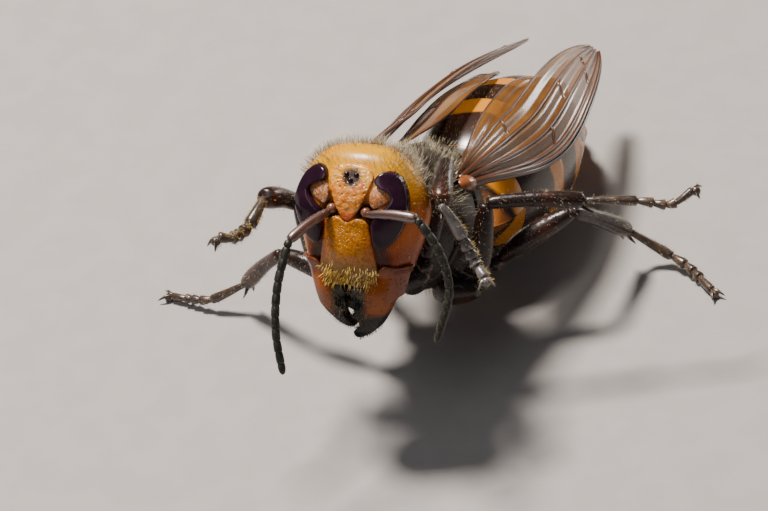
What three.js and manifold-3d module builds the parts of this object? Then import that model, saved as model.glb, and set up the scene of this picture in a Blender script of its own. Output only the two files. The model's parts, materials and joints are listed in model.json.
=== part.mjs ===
// A life-size model of an Asian giant hornet worker, resting on the floor with its front raised.
// Millimetres, +Z up. The hornet faces -Y and its own left side is +X.
import * as THREE from 'three';
import { mergeVertices } from 'three/addons/utils/BufferGeometryUtils.js';
import Module from 'manifold-3d';

const wasm = await Module();
wasm.setup();

// Driving dimensions
const GAP = 0.3;
const THORAX_HEIGHT = 10.4;
const THORAX_PITCH = THREE.MathUtils.degToRad(30);
const HEAD_YAW = THREE.MathUtils.degToRad(1.5);
const HEAD_PITCH = THREE.MathUtils.degToRad(20.5);
const HEAD_IN_THORAX = [0.2, -8.6, 1.1];
const HEAD_HALF_WIDTH = 4.3;
const EYE_BULGE = 0.28;
const EYE_DEPTH = 0.7;
const CLYPEUS_RISE = 0.28;
const CLYPEUS_DEPTH = 0.6;
const SHIELD_RISE = 0.16;
const OCELLUS_RADIUS = 0.2;
const OCELLI = [[0, -2.0, 2.9], [0.36, -1.82, 3.3], [-0.36, -1.82, 3.3]];
const SOCKET_REACH = 1.2;
const SOCKET_FRONT = -2.35;
const SOCKET_HEIGHT = 0.9;
const SOCKET_LENGTH = 0.8;
const SOCKET_RADIUS = 0.52;
const SCAPE_FRONT = -3.1;
const SCAPE_RADIUS = 0.31;
const FLAGELLUM_RADIUS = 0.29;
const FLAGELLUM_RINGS = 11;
const GASTER_LENGTH = 20.2;
const GASTER_WIDEN = 1.02;
const GASTER_FLATTEN = 0.97;
const SEGMENT_ENDS = [3.5, 8.1, 12.0, 15.2, 17.8];
const SEGMENT_STEP = 0.14;
const WING_THICKNESS = 0.5;
const VEIN_RISE = 0.16;
const VEIN_HALF_WIDTH = 0.035;
const SPUR_RADIUS = 0.15;
const SPUR_LENGTH = 1.05;
const SPUR_FLARE = 0.6;
const SPUR_SPREAD = 0.7;
const CLAW_RADIUS = 0.17;
const PAD_RADIUS = 0.36;
const PAD_HEIGHT = 0.24;
const STANDING_HEIGHT = 1;
const FAR = 60;
const LIMB_SIDES = 7;
const SIDES = [['left', 1], ['right', -1]];

// Colours
const ORANGE = 0xd07a1e;
const DARK_ORANGE = 0xb35a17;
const AMBER = 0xc9922f;
const EYE_DARK = 0x1d1216;
const CHESTNUT = 0x5a2412;
const SMOKE = 0x2f2420;
const THORAX_BROWN = 0x24160f;
const GASTER_BROWN = 0x2c1a11;
const BAND_ORANGE = 0xc9771c;
const LEG_BROWN = 0x2b170f;
const TARSUS_BROWN = 0x5c3216;
const WING_BROWN = 0x6b4420;

const vec = (x, y, z) => new THREE.Vector3(x, y, z);
const round = (at, radius) => ({ at, half: radius, high: radius, low: radius });

// A closed bag around the local Y axis. Each row gives a station and the reach to the sides,
// up and down; the first and last rows are points. Grow swells it evenly.
function skin(rows, { sides = 24, rings = rows.length - 1, power = 2, grow = 0 } = {}) {
  const places = rows.map((row, index) => index);
  const values = rows.flatMap((row) => [row.at, row.half, row.high, row.low]);
  const table = new THREE.CubicInterpolant(places, values, 4);
  const geometry = new THREE.SphereGeometry(1, sides, rings);
  const points = geometry.attributes.position;
  const point = vec(0, 0, 0);
  for (let i = 0; i < points.count; i += 1) {
    point.fromBufferAttribute(points, i);
    const ring = Math.round((Math.acos(THREE.MathUtils.clamp(point.y, -1, 1)) / Math.PI) * rings);
    const turn = (ring / rings) * Math.PI;
    const [at, half, high, low] = table.evaluate((ring / rings) * (rows.length - 1));
    const around = Math.atan2(point.z, point.x);
    const pole = ring === 0 || ring === rings;
    const swell = pole ? 0 : grow;
    const across = Math.sign(Math.cos(around)) * Math.abs(Math.cos(around)) ** (2 / power);
    const rise = Math.sign(Math.sin(around)) * Math.abs(Math.sin(around)) ** (2 / power);
    const reach = rise > 0 ? high : low;
    const forward = Math.sign(rows[rows.length - 1].at - rows[0].at);
    points.setXYZ(
      i,
      pole ? 0 : across * (half + swell),
      at - forward * grow * Math.cos(turn),
      pole ? (high - low) / 2 : rise * (reach + swell),
    );
  }
  return geometry;
}

// Lays a bag, whose stations run from 0 to 1, along a curve.
function bend(geometry, curve, hint = vec(0, 0, 1)) {
  const points = geometry.attributes.position;
  const point = vec(0, 0, 0);
  for (let i = 0; i < points.count; i += 1) {
    point.fromBufferAttribute(points, i);
    const station = THREE.MathUtils.clamp(point.y, 0, 1);
    const centre = curve.getPointAt(station);
    const tangent = curve.getTangentAt(station);
    const side = tangent.clone().cross(hint).normalize();
    const up = side.clone().cross(tangent);
    centre.addScaledVector(side, point.x).addScaledVector(up, point.z);
    centre.addScaledVector(tangent, (point.y - station) * curve.getLength());
    points.setXYZ(i, centre.x, centre.y, centre.z);
  }
  return geometry;
}

function path(...points) {
  return points.length === 2 ? new THREE.LineCurve3(...points) : new THREE.CatmullRomCurve3(points);
}

// Radii are pairs of a station from 0 to 1 and a radius; a grown limb is also longer.
function limb(points, radii, { sides = LIMB_SIDES, grow = 0, hint } = {}) {
  const curve = path(...points);
  const reach = grow / curve.getLength();
  const rows = radii.map(([at, radius]) => round(at + (at - 0.5) * 2 * reach, radius));
  const ends = [round(rows[0].at - 0.002, 0), round(rows[rows.length - 1].at + 0.002, 0)];
  const geometry = skin([ends[0], ...rows, ends[1]], { sides });
  const spread = geometry.attributes.position;
  for (let i = 0; i < spread.count; i += 1) {
    const wide = Math.hypot(spread.getX(i), spread.getZ(i));
    const scale = wide > 0 ? (wide + grow) / wide : 1;
    spread.setX(i, spread.getX(i) * scale);
    spread.setZ(i, spread.getZ(i) * scale);
  }
  return bend(geometry, curve, hint);
}

function solidOf(geometry) {
  geometry.deleteAttribute('normal');
  geometry.deleteAttribute('uv');
  const merged = mergeVertices(geometry, 1e-4);
  const corners = Array.from(merged.index.array);
  const kept = [];
  for (let i = 0; i < corners.length; i += 3) {
    const [a, b, c] = corners.slice(i, i + 3);
    if (a !== b && b !== c && c !== a) kept.push(a, b, c);
  }
  const vertProperties = new Float32Array(merged.attributes.position.array);
  const triVerts = new Uint32Array(kept);
  const solid = new wasm.Manifold(new wasm.Mesh({ numProp: 3, vertProperties, triVerts }));
  return solid.volume() < 0 ? solidOf(flip(merged)) : solid;
}

function flip(geometry) {
  const index = geometry.index.array;
  for (let i = 0; i < index.length; i += 3) {
    [index[i], index[i + 1]] = [index[i + 1], index[i]];
  }
  return geometry;
}

function join(first, ...others) {
  return others.reduce((whole, other) => whole.add(other), first);
}

// The largest closed surface of a solid, as a geometry.
function surfaceOf(solid) {
  const bodies = solid.decompose().sort((a, b) => b.volume() - a.volume());
  const mesh = bodies[0].getMesh();
  const geometry = new THREE.BufferGeometry();
  geometry.setAttribute('position', new THREE.BufferAttribute(mesh.vertProperties, 3));
  geometry.setIndex(new THREE.BufferAttribute(mesh.triVerts, 1));
  geometry.computeVertexNormals();
  return geometry;
}

const hornet = new THREE.Group();
const thorax = new THREE.Group();
thorax.position.z = THORAX_HEIGHT;
thorax.rotation.x = -THORAX_PITCH;
const head = new THREE.Group();
head.position.copy(vec(...HEAD_IN_THORAX).applyMatrix4(new THREE.Matrix4().compose(
  thorax.position,
  thorax.quaternion,
  thorax.scale,
)));
head.rotation.set(-HEAD_PITCH, 0, HEAD_YAW, 'ZXY');
hornet.add(thorax, head);
hornet.updateMatrixWorld(true);
const fromThorax = (x, y, z) => vec(x, y, z).applyMatrix4(thorax.matrixWorld);
const fromHead = (x, y, z) => vec(x, y, z).applyMatrix4(head.matrixWorld);

function add(name, solid, color, { roughness = 0.4, metalness = 0, parent = hornet } = {}) {
  const material = new THREE.MeshStandardMaterial({ color, roughness, metalness });
  const mesh = new THREE.Mesh(surfaceOf(solid), material);
  mesh.name = name;
  parent.add(mesh);
}

// Head: rings from the crown down to the mouth, wide at the cheeks and flat in the face
const HEAD_ROWS = [
  { at: 4.6, half: 0, high: 0, low: 0 },
  { at: 4.35, half: 1.9, high: 1.2, low: 1.0 },
  { at: 3.5, half: 3.15, high: 2.0, low: 1.75 },
  { at: 2.2, half: 4.0, high: 2.4, low: 2.35 },
  { at: 0.8, half: HEAD_HALF_WIDTH, high: 2.5, low: 2.6 },
  { at: -0.7, half: 4.08, high: 2.3, low: 2.65 },
  { at: -2.0, half: 3.75, high: 1.8, low: 2.5 },
  { at: -3.1, half: 3.3, high: 1.1, low: 2.15 },
  { at: -3.8, half: 2.4, high: 0.4, low: 1.5 },
  { at: -4.0, half: 0, high: 0.2, low: 0.6 },
];
const HEAD_POWER = 2.4;

function headShape(grow, sides = 28, rings = 16) {
  const shape = skin(HEAD_ROWS, { sides, rings, power: HEAD_POWER, grow });
  return solidOf(shape.rotateX(Math.PI / 2).scale(1, -1, 1));
}

// A slab cut to an outline that is drawn looking at the face
function faceSlab(shape, front, back) {
  const depth = back - front;
  const slab = new THREE.ExtrudeGeometry(shape, { depth, bevelEnabled: false, curveSegments: 5 });
  return solidOf(slab.rotateX(Math.PI / 2).translate(0, back, 0));
}

// An outline moved outward by the same distance all round
function widened(shape, grow, divisions = 5) {
  const corners = shape.getPoints(divisions);
  if (corners[0].distanceTo(corners[corners.length - 1]) < 1e-6) corners.pop();
  const turn = THREE.ShapeUtils.area(corners) > 0 ? 1 : -1;
  return new THREE.Shape(corners.map((corner, index) => {
    const before = corners[(index + corners.length - 1) % corners.length];
    const after = corners[(index + 1) % corners.length];
    const into = corner.clone().sub(before).normalize();
    const along = after.clone().sub(corner).normalize().add(into).normalize();
    const stretch = (grow * turn) / Math.max(0.5, along.dot(into));
    return new THREE.Vector2(corner.x + along.y * stretch, corner.y - along.x * stretch);
  }));
}

function eyeOutline(mirror, grow) {
  const shape = new THREE.Shape();
  const at = (x, z) => [mirror * x, z];
  shape.moveTo(...at(1.55, 3.1));
  shape.bezierCurveTo(...at(1.7, 3.6), ...at(2.5, 3.9), ...at(3.15, 3.1));
  shape.bezierCurveTo(...at(3.6, 2.5), ...at(3.75, 1.5), ...at(3.6, 0.8));
  shape.bezierCurveTo(...at(3.4, -0.2), ...at(2.9, -1.1), ...at(2.2, -1.25));
  shape.bezierCurveTo(...at(1.7, -1.3), ...at(1.55, 0.0), ...at(1.7, 0.7));
  shape.bezierCurveTo(...at(1.9, 1.3), ...at(2.6, 1.5), ...at(2.7, 2.1));
  shape.bezierCurveTo(...at(2.7, 2.6), ...at(1.6, 2.6), ...at(1.55, 3.1));
  return widened(shape, grow);
}

function clypeusOutline(grow) {
  const shape = new THREE.Shape();
  const half = [[0.5, 0.35], [1.05, 0.0], [1.32, -0.8], [1.6, -1.7], [1.8, -2.5], [1.5, -3.2], [0.6, -3.75]];
  shape.moveTo(-half[0][0], half[0][1]);
  half.forEach(([x, z]) => shape.lineTo(x, z));
  shape.lineTo(0, -3.5);
  half.slice(1).reverse().forEach(([x, z]) => shape.lineTo(-x, z));
  shape.closePath();
  return widened(shape, grow, 4);
}

function shieldOutline() {
  const shape = new THREE.Shape();
  shape.moveTo(-1.35, 2.6);
  shape.lineTo(-0.75, 1.6);
  shape.lineTo(-0.3, 0.8);
  shape.lineTo(0.3, 0.8);
  shape.lineTo(0.75, 1.6);
  shape.lineTo(1.35, 2.6);
  shape.lineTo(0, 2.3);
  shape.closePath();
  return shape;
}

const FACE_FRONT = -6;
const EYE_BACK = -0.8;
const FACE_BACK = -0.9;

function ball(centre, radius, stretch = vec(1, 1, 1), detail = 10) {
  const geometry = new THREE.SphereGeometry(radius, detail, Math.ceil(detail * 0.6));
  return solidOf(geometry.scale(...stretch.toArray()).translate(...centre.toArray()));
}

const headFull = headShape(0);
const headWide = headShape(GAP);
let skull = headFull.add(headShape(SHIELD_RISE).intersect(faceSlab(shieldOutline(), FACE_FRONT, FACE_BACK)));
function antennaSocket(mirror, grow) {
  const radius = SOCKET_RADIUS + grow;
  const socket = new THREE.CylinderGeometry(radius, radius * 1.05, SOCKET_LENGTH + grow, 10);
  const front = SOCKET_FRONT - grow / 2;
  return solidOf(socket.rotateX(Math.PI / 2).translate(mirror * SOCKET_REACH, front, SOCKET_HEIGHT));
}

for (const [, mirror] of SIDES) {
  skull = skull.add(antennaSocket(mirror, 0));
}
for (const [side, mirror] of SIDES) {
  const shell = headShape(EYE_BULGE).subtract(headShape(-EYE_DEPTH));
  const eye = shell.intersect(faceSlab(eyeOutline(mirror, 0), FACE_FRONT, EYE_BACK));
  add(`eye_${side}`, eye, EYE_DARK, { roughness: 0.15, parent: head });
  const pocket = faceSlab(eyeOutline(mirror, GAP), FACE_FRONT, EYE_BACK + GAP);
  skull = skull.subtract(pocket.subtract(headShape(-EYE_DEPTH - GAP)));
}
const clypeusShell = headShape(CLYPEUS_RISE).subtract(headShape(-CLYPEUS_DEPTH));
const clypeus = clypeusShell.intersect(faceSlab(clypeusOutline(0), FACE_FRONT, FACE_BACK));
const clypeusPocket = faceSlab(clypeusOutline(GAP), FACE_FRONT, FACE_BACK + GAP);
skull = skull.subtract(clypeusPocket.subtract(headShape(-CLYPEUS_DEPTH - GAP)));
for (const [x, y, z] of OCELLI) {
  skull = skull.add(ball(vec(x, y, z), OCELLUS_RADIUS, vec(1, 1, 1), 8));
}
add('head', skull, ORANGE, { roughness: 0.35, parent: head });
const socketsWide = SIDES.map(([, mirror]) => antennaSocket(mirror, GAP));
const faceWide = join(headShape(EYE_BULGE + GAP), ...socketsWide).transform(head.matrixWorld.toArray());
add('clypeus', clypeus, AMBER, { roughness: 0.4, parent: head });

// Mandibles: broad blades that go on from the cheeks, their toothed tips crossing below the mouth
const MUZZLE_ROWS = [
  { at: -1.9, half: 0, high: 0, low: 0 },
  { at: -2.0, half: 3.7, high: 0.4, low: 2.2 },
  { at: -3.2, half: 3.65, high: 0.2, low: 2.3 },
  { at: -4.4, half: 3.1, high: -0.1, low: 2.35 },
  { at: -5.4, half: 2.75, high: -0.5, low: 2.35 },
  { at: -6.2, half: 2.3, high: -0.9, low: 2.3 },
  { at: -6.9, half: 1.8, high: -1.2, low: 2.2 },
  { at: -7.5, half: 1.2, high: -1.5, low: 2.1 },
  { at: -7.6, half: 0, high: 0, low: 3.4 },
];
const BLADES = {
  left: {
    inner: [
      [2.2, -2.6], [1.0, -3.7], [1.15, -4.6], [0.75, -5.1],
      [0.95, -5.5], [0.35, -5.95], [0.6, -6.3], [0.2, -6.6],
    ],
    tip: [0.25, -7.2],
    outer: [[1.5, -6.75], [2.1, -6.05], [2.5, -5.2], [2.75, -4.3], [3.3, -3.3], [3.6, -2.5]],
  },
  right: {
    inner: [
      [2.2, -2.6], [1.2, -3.8], [1.15, -4.7], [0.8, -5.0],
      [0.9, -5.4], [0.45, -5.65], [0.55, -6.0], [0.3, -6.15],
    ],
    tip: [0.15, -6.6],
    outer: [[0.95, -6.6], [2.0, -6.05], [2.6, -5.3], [3.0, -4.6], [3.45, -3.6], [3.6, -2.5]],
  },
};

function bladeOutline({ inner, tip, outer }, mirror) {
  const edge = new THREE.SplineCurve([tip, ...outer].map(([x, z]) => new THREE.Vector2(mirror * x, z)));
  const teeth = inner.map(([x, z]) => new THREE.Vector2(mirror * x, z));
  return new THREE.Shape([...teeth, ...edge.getPoints(12)]);
}

const muzzleSkin = skin(MUZZLE_ROWS, { sides: 24, rings: 16, power: HEAD_POWER });
const muzzle = solidOf(muzzleSkin.rotateX(Math.PI / 2).scale(1, -1, 1));
const BLADE_BACK = 2;
const clypeusWide = headShape(CLYPEUS_RISE + GAP).intersect(
  faceSlab(clypeusOutline(GAP), FACE_FRONT, FACE_BACK),
);
for (const [side, mirror] of SIDES) {
  const blade = muzzle.intersect(faceSlab(bladeOutline(BLADES[side], mirror), FACE_FRONT, BLADE_BACK));
  add(`mandible_${side}`, blade.subtract(headWide).subtract(clypeusWide), DARK_ORANGE, {
    roughness: 0.3,
    parent: head,
  });
}

// Antennae: a long first joint, then an elbow and eleven short rings
const ANTENNAE = {
  left: [vec(5.0, -9.1, 17.8), vec(6.5, -9.7, 15.9), vec(7.2, -10.5, 13.7), vec(6.6, -12.1, 10.7)],
  right: [vec(-2.3, -12.3, 17.25), vec(-2.6, -14.1, 15.1), vec(-2.45, -15.6, 12.75), vec(-1.85, -16.7, 10.2)],
};
const SCAPE_RADII = [[0, 0.2], [0.1, 0.27], [0.5, SCAPE_RADIUS], [0.92, SCAPE_RADIUS + 0.03], [1, 0.26]];
const PEDICEL_RADII = [[0, 0.24], [0.03, 0.28], [0.045, 0.2]];
const PEDICEL_LENGTH = 0.05;
for (const [side, mirror] of SIDES) {
  const base = fromHead(mirror * SOCKET_REACH, SCAPE_FRONT, SOCKET_HEIGHT);
  const [elbow, ...rest] = ANTENNAE[side];
  const sag = base.clone().lerp(elbow, 0.5).add(vec(0, 0, 0.15));
  const scapePoints = [base, sag, elbow];
  const scape = solidOf(limb(scapePoints, SCAPE_RADII, { sides: 10 })).subtract(faceWide);
  add(`scape_${side}`, scape, CHESTNUT, { roughness: 0.25 });
  const radii = [...PEDICEL_RADII];
  const step = (1 - PEDICEL_LENGTH) / FLAGELLUM_RINGS;
  for (let ring = 0; ring < FLAGELLUM_RINGS; ring += 1) {
    const start = PEDICEL_LENGTH + step * ring;
    const end = PEDICEL_LENGTH + step * (ring + 0.94);
    const taper = FLAGELLUM_RADIUS - 0.03 * (ring / FLAGELLUM_RINGS);
    radii.push([start, taper - 0.06], [end, ring === FLAGELLUM_RINGS - 1 ? 0.14 : taper]);
  }
  const whip = solidOf(limb([elbow, ...rest], radii, { hint: vec(1, 0, 0) }));
  const joint = solidOf(limb(scapePoints, SCAPE_RADII, { sides: 10, grow: GAP }));
  add(`flagellum_${side}`, whip.subtract(joint), SMOKE, { roughness: 0.6 });
}

// Thorax: one barrel along its own axis, cut into the collar, the wing box and the sloping rear
const THORAX_ROWS = [
  { at: -6.5, half: 0, high: 0.3, low: 0.3 },
  { at: -6.3, half: 1.2, high: 1.3, low: 1.5 },
  { at: -5.3, half: 2.9, high: 2.7, low: 3.1 },
  { at: -3.8, half: 4.15, high: 3.9, low: 4.1 },
  { at: -1.9, half: 4.6, high: 4.6, low: 4.5 },
  { at: 0.2, half: 4.6, high: 4.8, low: 4.6 },
  { at: 2.2, half: 4.3, high: 4.6, low: 4.4 },
  { at: 3.9, half: 3.6, high: 3.7, low: 3.8 },
  { at: 5.2, half: 2.6, high: 2.1, low: 3.0 },
  { at: 6.0, half: 1.5, high: 0.5, low: 2.2 },
  { at: 6.4, half: 0, high: -1.2, low: 1.2 },
];

function thoraxShape(grow, sides = 28, rings = 18) {
  return solidOf(skin(THORAX_ROWS, { sides, rings, grow }));
}

function box(from, to) {
  const size = to.clone().sub(from);
  const centre = from.clone().lerp(to, 0.5);
  return solidOf(new THREE.BoxGeometry(...size.toArray()).translate(...centre.toArray()));
}

// The wing box ends in a rounded shield in front, and the collar wraps round it
const SHIELD = { half: 3.75, long: 3.9, height: 8, centre: vec(0, 0.5, 3.4) };
const FLANK = { back: 0.4, front: -2.7, top: -0.6 };

function collarEdge(grow) {
  const drum = new THREE.CylinderGeometry(1, 1, SHIELD.height + 2 * grow, 24).rotateX(Math.PI / 2);
  drum.scale(SHIELD.half + grow, SHIELD.long + grow, 1).translate(...SHIELD.centre.toArray());
  return join(
    solidOf(drum),
    box(vec(-FAR, FLANK.back - grow, -FAR), vec(FAR, FAR, FAR)),
    box(vec(-FAR, FLANK.front - grow, -FAR), vec(FAR, FAR, FLANK.top + grow)),
  );
}

const trunk = thoraxShape(0);
const REAR_START = 4.3;
const SCUTELLUM = { centre: vec(0, 2.7, 3.75), size: vec(2.3, 1.05, 1.25) };
const METANOTUM = { centre: vec(0, 4.0, 2.95), size: vec(1.9, 0.7, 1.1) };
const TEGULA = { reach: 3.75, back: -0.75, height: 2.95, size: vec(0.75, 1.2, 0.6) };
const swollen = ({ centre, size }, grow, detail) => ball(centre, 1, size.clone().addScalar(grow), detail);
const middle = box(vec(-FAR, -FAR, -FAR), vec(FAR, REAR_START, FAR));
const rear = box(vec(-FAR, REAR_START + GAP, -FAR), vec(FAR, FAR, FAR));
const scutellum = swollen(SCUTELLUM, 0, 14);
const metanotum = swollen(METANOTUM, 0, 12);
const neckHole = headWide.transform(
  new THREE.Matrix4().copy(thorax.matrixWorld).invert().multiply(head.matrixWorld).toArray(),
);
const collar = trunk.subtract(collarEdge(GAP)).subtract(neckHole);
const wingBox = join(trunk, scutellum, metanotum).intersect(collarEdge(0)).intersect(middle);
add('prothorax', collar, THORAX_BROWN, { roughness: 0.55, parent: thorax });
add('mesothorax', wingBox, THORAX_BROWN, { roughness: 0.55, parent: thorax });
add('propodeum', trunk.intersect(rear), THORAX_BROWN, { roughness: 0.55, parent: thorax });
const thoraxGrown = join(thoraxShape(GAP, 24, 14), swollen(SCUTELLUM, GAP, 12));
const thoraxWide = thoraxGrown.transform(thorax.matrixWorld.toArray());

function wingCap(mirror, grow) {
  const centre = vec(mirror * TEGULA.reach, TEGULA.back, TEGULA.height);
  return swollen({ centre, size: TEGULA.size }, grow, 12);
}

for (const [side, mirror] of SIDES) {
  const cap = wingCap(mirror, 0).subtract(thoraxGrown);
  add(`tegula_${side}`, cap, CHESTNUT, { roughness: 0.35, parent: thorax });
}

// Gaster: six overlapping rings on a drooping axis, flattened where the belly rests
const GASTER_AXIS = path(
  vec(0, 5.15, 6.1),
  vec(0, 8.6, 5.95),
  vec(0, 12.6, 5.45),
  vec(0, 17.0, 4.6),
  vec(0, 21.2, 3.4),
  vec(0, 25.1, 2.05),
);
const GASTER_STATIONS = [0, 0.7, 1.4, 2.3, 3.5, 5.5, 8.1, 10.5, 12.9, 15.2, 17.3, 19.0, 19.9, GASTER_LENGTH];
const GASTER_RADII = [0.55, 0.6, 1.5, 3.0, 4.25, 4.95, 5.25, 5.2, 4.85, 4.1, 3.0, 1.7, 0.75, 0.3];
const gasterTable = new THREE.CubicInterpolant(GASTER_STATIONS, GASTER_RADII, 1);
const floorBlock = box(vec(-FAR, -FAR, 0), vec(FAR, FAR, FAR));
const axisLength = GASTER_AXIS.getLength();

function gasterRing(start, end, rings) {
  const rows = [];
  for (let ring = 0; ring <= rings; ring += 1) {
    const station = start + ((end - start) * ring) / rings;
    const part = ring / rings;
    const radius = gasterTable.evaluate(station)[0] + SEGMENT_STEP * (part - 0.6);
    const tall = radius * GASTER_FLATTEN;
    rows.push({ at: station / axisLength, half: radius * GASTER_WIDEN, high: tall, low: tall });
  }
  const first = rows[0];
  const last = rows[rings];
  const flat = { half: 0, high: 0, low: 0 };
  const all = [{ at: first.at, ...flat }, ...rows, { at: last.at, ...flat }];
  return solidOf(bend(skin(all, { sides: 28, power: 2.05 }), GASTER_AXIS));
}

SEGMENT_ENDS.concat(GASTER_LENGTH).forEach((end, index) => {
  const start = index === 0 ? 0 : SEGMENT_ENDS[index - 1] + GAP / 2;
  const stop = index === SEGMENT_ENDS.length ? end : end - GAP / 2;
  const ring = gasterRing(start, stop, index === 0 ? 7 : 4);
  const colour = index === SEGMENT_ENDS.length ? BAND_ORANGE : GASTER_BROWN;
  const cleared = index === 0 ? ring.subtract(thoraxWide) : ring;
  add(`gaster_${index + 1}`, cleared.intersect(floorBlock), colour, { roughness: 0.35 });
});

// Wings: folded sheets laid round the back, set by the height of their centre line, their
// reach from it and the angles of the outer and inner edges from straight up
const WINGS = {
  forewing: {
    rows: [
      { y: 0.6, centre: 10.5, reach: 4.75, outer: 55, inner: 43 },
      { y: 3.0, centre: 9.6, reach: 5.5, outer: 61, inner: 38 },
      { y: 7.5, centre: 7.3, reach: 6.4, outer: 65, inner: 28 },
      { y: 12.0, centre: 5.75, reach: 6.9, outer: 65, inner: 25 },
      { y: 17.0, centre: 4.95, reach: 6.5, outer: 62, inner: 22 },
      { y: 22.0, centre: 4.1, reach: 5.55, outer: 57, inner: 21 },
      { y: 25.4, centre: 3.4, reach: 4.75, outer: 50, inner: 24 },
      { y: 26.8, centre: 3.1, reach: 4.5, outer: 42, inner: 31 },
    ],
    veins: [0.16, 0.42, 0.7],
    stations: 12,
  },
  hindwing: {
    rows: [
      { y: 2.3, centre: 9.9, reach: 4.5, outer: 50, inner: 38 },
      { y: 5.0, centre: 8.5, reach: 4.8, outer: 56, inner: 26 },
      { y: 9.0, centre: 6.7, reach: 5.5, outer: 56, inner: 13 },
      { y: 13.0, centre: 5.65, reach: 5.92, outer: 55, inner: 9 },
      { y: 17.0, centre: 4.85, reach: 5.6, outer: 50, inner: 10 },
      { y: 20.0, centre: 4.1, reach: 4.75, outer: 42, inner: 22 },
      { y: 20.8, centre: 4.0, reach: 4.6, outer: 36, inner: 30 },
    ],
    veins: [0.3, 0.65],
    stations: 10,
  },
};

function wingSheet({ rows, veins, stations }, mirror) {
  const values = rows.flatMap((row) => [row.y, row.centre, row.reach, row.outer, row.inner]);
  const table = new THREE.CubicInterpolant(rows.map((row, index) => index), values, 5);
  const lines = [0, VEIN_HALF_WIDTH * 2];
  veins.forEach((vein) => lines.push(vein - VEIN_HALF_WIDTH, vein, vein + VEIN_HALF_WIDTH));
  lines.push(1);
  const raised = (index) => index === 0 || (index > 1 && index % 3 === 0 && index < lines.length - 1);
  const sheet = new THREE.BoxGeometry(1, 1, 1, lines.length - 1, stations, 1);
  const points = sheet.attributes.position;
  for (let i = 0; i < points.count; i += 1) {
    const line = Math.round((points.getX(i) + 0.5) * (lines.length - 1));
    const along = (points.getY(i) + 0.5) * (rows.length - 1);
    const outside = points.getZ(i) > 0;
    const [y, centre, reach, outer, inner] = table.evaluate(along);
    const angle = THREE.MathUtils.degToRad(outer + (inner - outer) * lines[line]);
    const lift = outside && raised(line) ? VEIN_RISE : 0;
    const radius = reach + (outside ? WING_THICKNESS / 2 + lift : -WING_THICKNESS / 2);
    points.setXYZ(i, mirror * radius * Math.sin(angle), y, centre + radius * Math.cos(angle));
  }
  return solidOf(sheet);
}

for (const [side, mirror] of SIDES) {
  for (const [name, wing] of Object.entries(WINGS)) {
    const capWide = wingCap(mirror, GAP).transform(thorax.matrixWorld.toArray());
    const sheet = wingSheet(wing, mirror).subtract(thoraxWide).subtract(capWide);
    add(`${name}_${side}`, sheet, WING_BROWN, { roughness: 0.3 });
  }
}

// Legs: coxa, femur with its trochanter, tibia with its spurs, and a jointed foot with claws
const LEGS = {
  fore_left: {
    hip: fromThorax(1.7, -4.6, -3.1),
    trochanter: vec(3.3, -6.0, 11.0),
    knee: vec(3.9, -1.8, 16.8),
    ankle: vec(5.3, -6.2, 16.9),
    foot: [vec(6.37, -6.14, 14.7), vec(7.26, -6.44, 12.73), vec(8.1, -7.1, 12.25)],
    claws: [vec(7.95, -8.0, 11.95), vec(8.85, -7.4, 11.95)],
    size: 1.05,
    footSize: 1.28,
  },
  fore_right: {
    hip: fromThorax(-1.7, -4.6, -3.1),
    trochanter: vec(-3.1, -6.8, 8.2),
    knee: vec(-5.86, -4.0, 13.62),
    ankle: vec(-6.05, -7.9, 16.78),
    foot: [vec(-6.27, -10.3, 16.1), vec(-6.7, -11.6, 16.2), vec(-7.35, -12.1, 16.5)],
    claws: [vec(-7.4, -12.75, 15.8), vec(-8.1, -12.4, 15.9)],
    size: 1.05,
    footSize: 1.28,
  },
  mid_left: {
    hip: fromThorax(2.2, -0.2, -4.1),
    trochanter: vec(5.2, -2.2, 7.2),
    knee: vec(5.7, -0.58, 13.03),
    ankle: vec(11.45, 1.94, 12.38),
    foot: [vec(14.67, 3.25, 11.89), vec(16.56, 3.91, 11.48), vec(17.67, 4.95, 12.02)],
    claws: [vec(17.98, 5.78, 11.8), vec(18.09, 4.94, 11.39)],
    size: 1,
    footSize: 1,
  },
  mid_right: {
    hip: fromThorax(-2.2, -0.2, -4.1),
    trochanter: vec(-4.0, -2.4, 5.9),
    knee: vec(-9.4, -1.3, 7.0),
    ankle: vec(-13.6, 0.5, 2.4),
    foot: [vec(-16.3, -0.1, 1.0), vec(-18.2, 0.1, 0.6), vec(-19.5, 0.3, 0.42)],
    claws: [vec(-20.4, 0.9, 0.3), vec(-20.4, -0.3, 0.3)],
    size: 1,
    footSize: 1,
  },
  hind_left: {
    hip: fromThorax(2.2, 3.2, -3.7),
    trochanter: vec(3.9, 2.4, 5.4),
    knee: vec(8.83, 5.64, 8.37),
    ankle: vec(10.37, 11.12, 3.2),
    foot: [vec(12.2, 11.95, 1.3), vec(14.3, 11.3, 0.72), vec(16.67, 9.47, 0.42)],
    claws: [vec(17.65, 9.2, 0.3), vec(17.05, 8.45, 0.3)],
    size: 1.08,
    footSize: 1.08,
  },
  hind_right: {
    hip: fromThorax(-2.2, 3.2, -3.7),
    trochanter: vec(-3.9, 2.4, 5.4),
    knee: vec(-8.0, 6.0, 8.4),
    ankle: vec(-10.9, 11.8, 3.4),
    foot: [vec(-12.1, 15.0, 1.3), vec(-12.8, 17.1, 0.65), vec(-13.2, 18.7, 0.42)],
    claws: [vec(-13.9, 19.5, 0.3), vec(-12.9, 19.7, 0.3)],
    size: 1.08,
    footSize: 1.08,
  },
};
const COXA_RADII = [[0, 0.9], [0.3, 1.15], [0.7, 0.95], [1, 0.55]];
const FEMUR_RADII = [[0, 0.35], [0.06, 0.5], [0.13, 0.42], [0.4, 0.68], [0.75, 0.62], [0.95, 0.5], [1, 0.38]];
const TIBIA_RADII = [[0, 0.3], [0.06, 0.42], [0.35, 0.46], [0.8, 0.55], [0.97, 0.5], [1, 0.4]];
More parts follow.
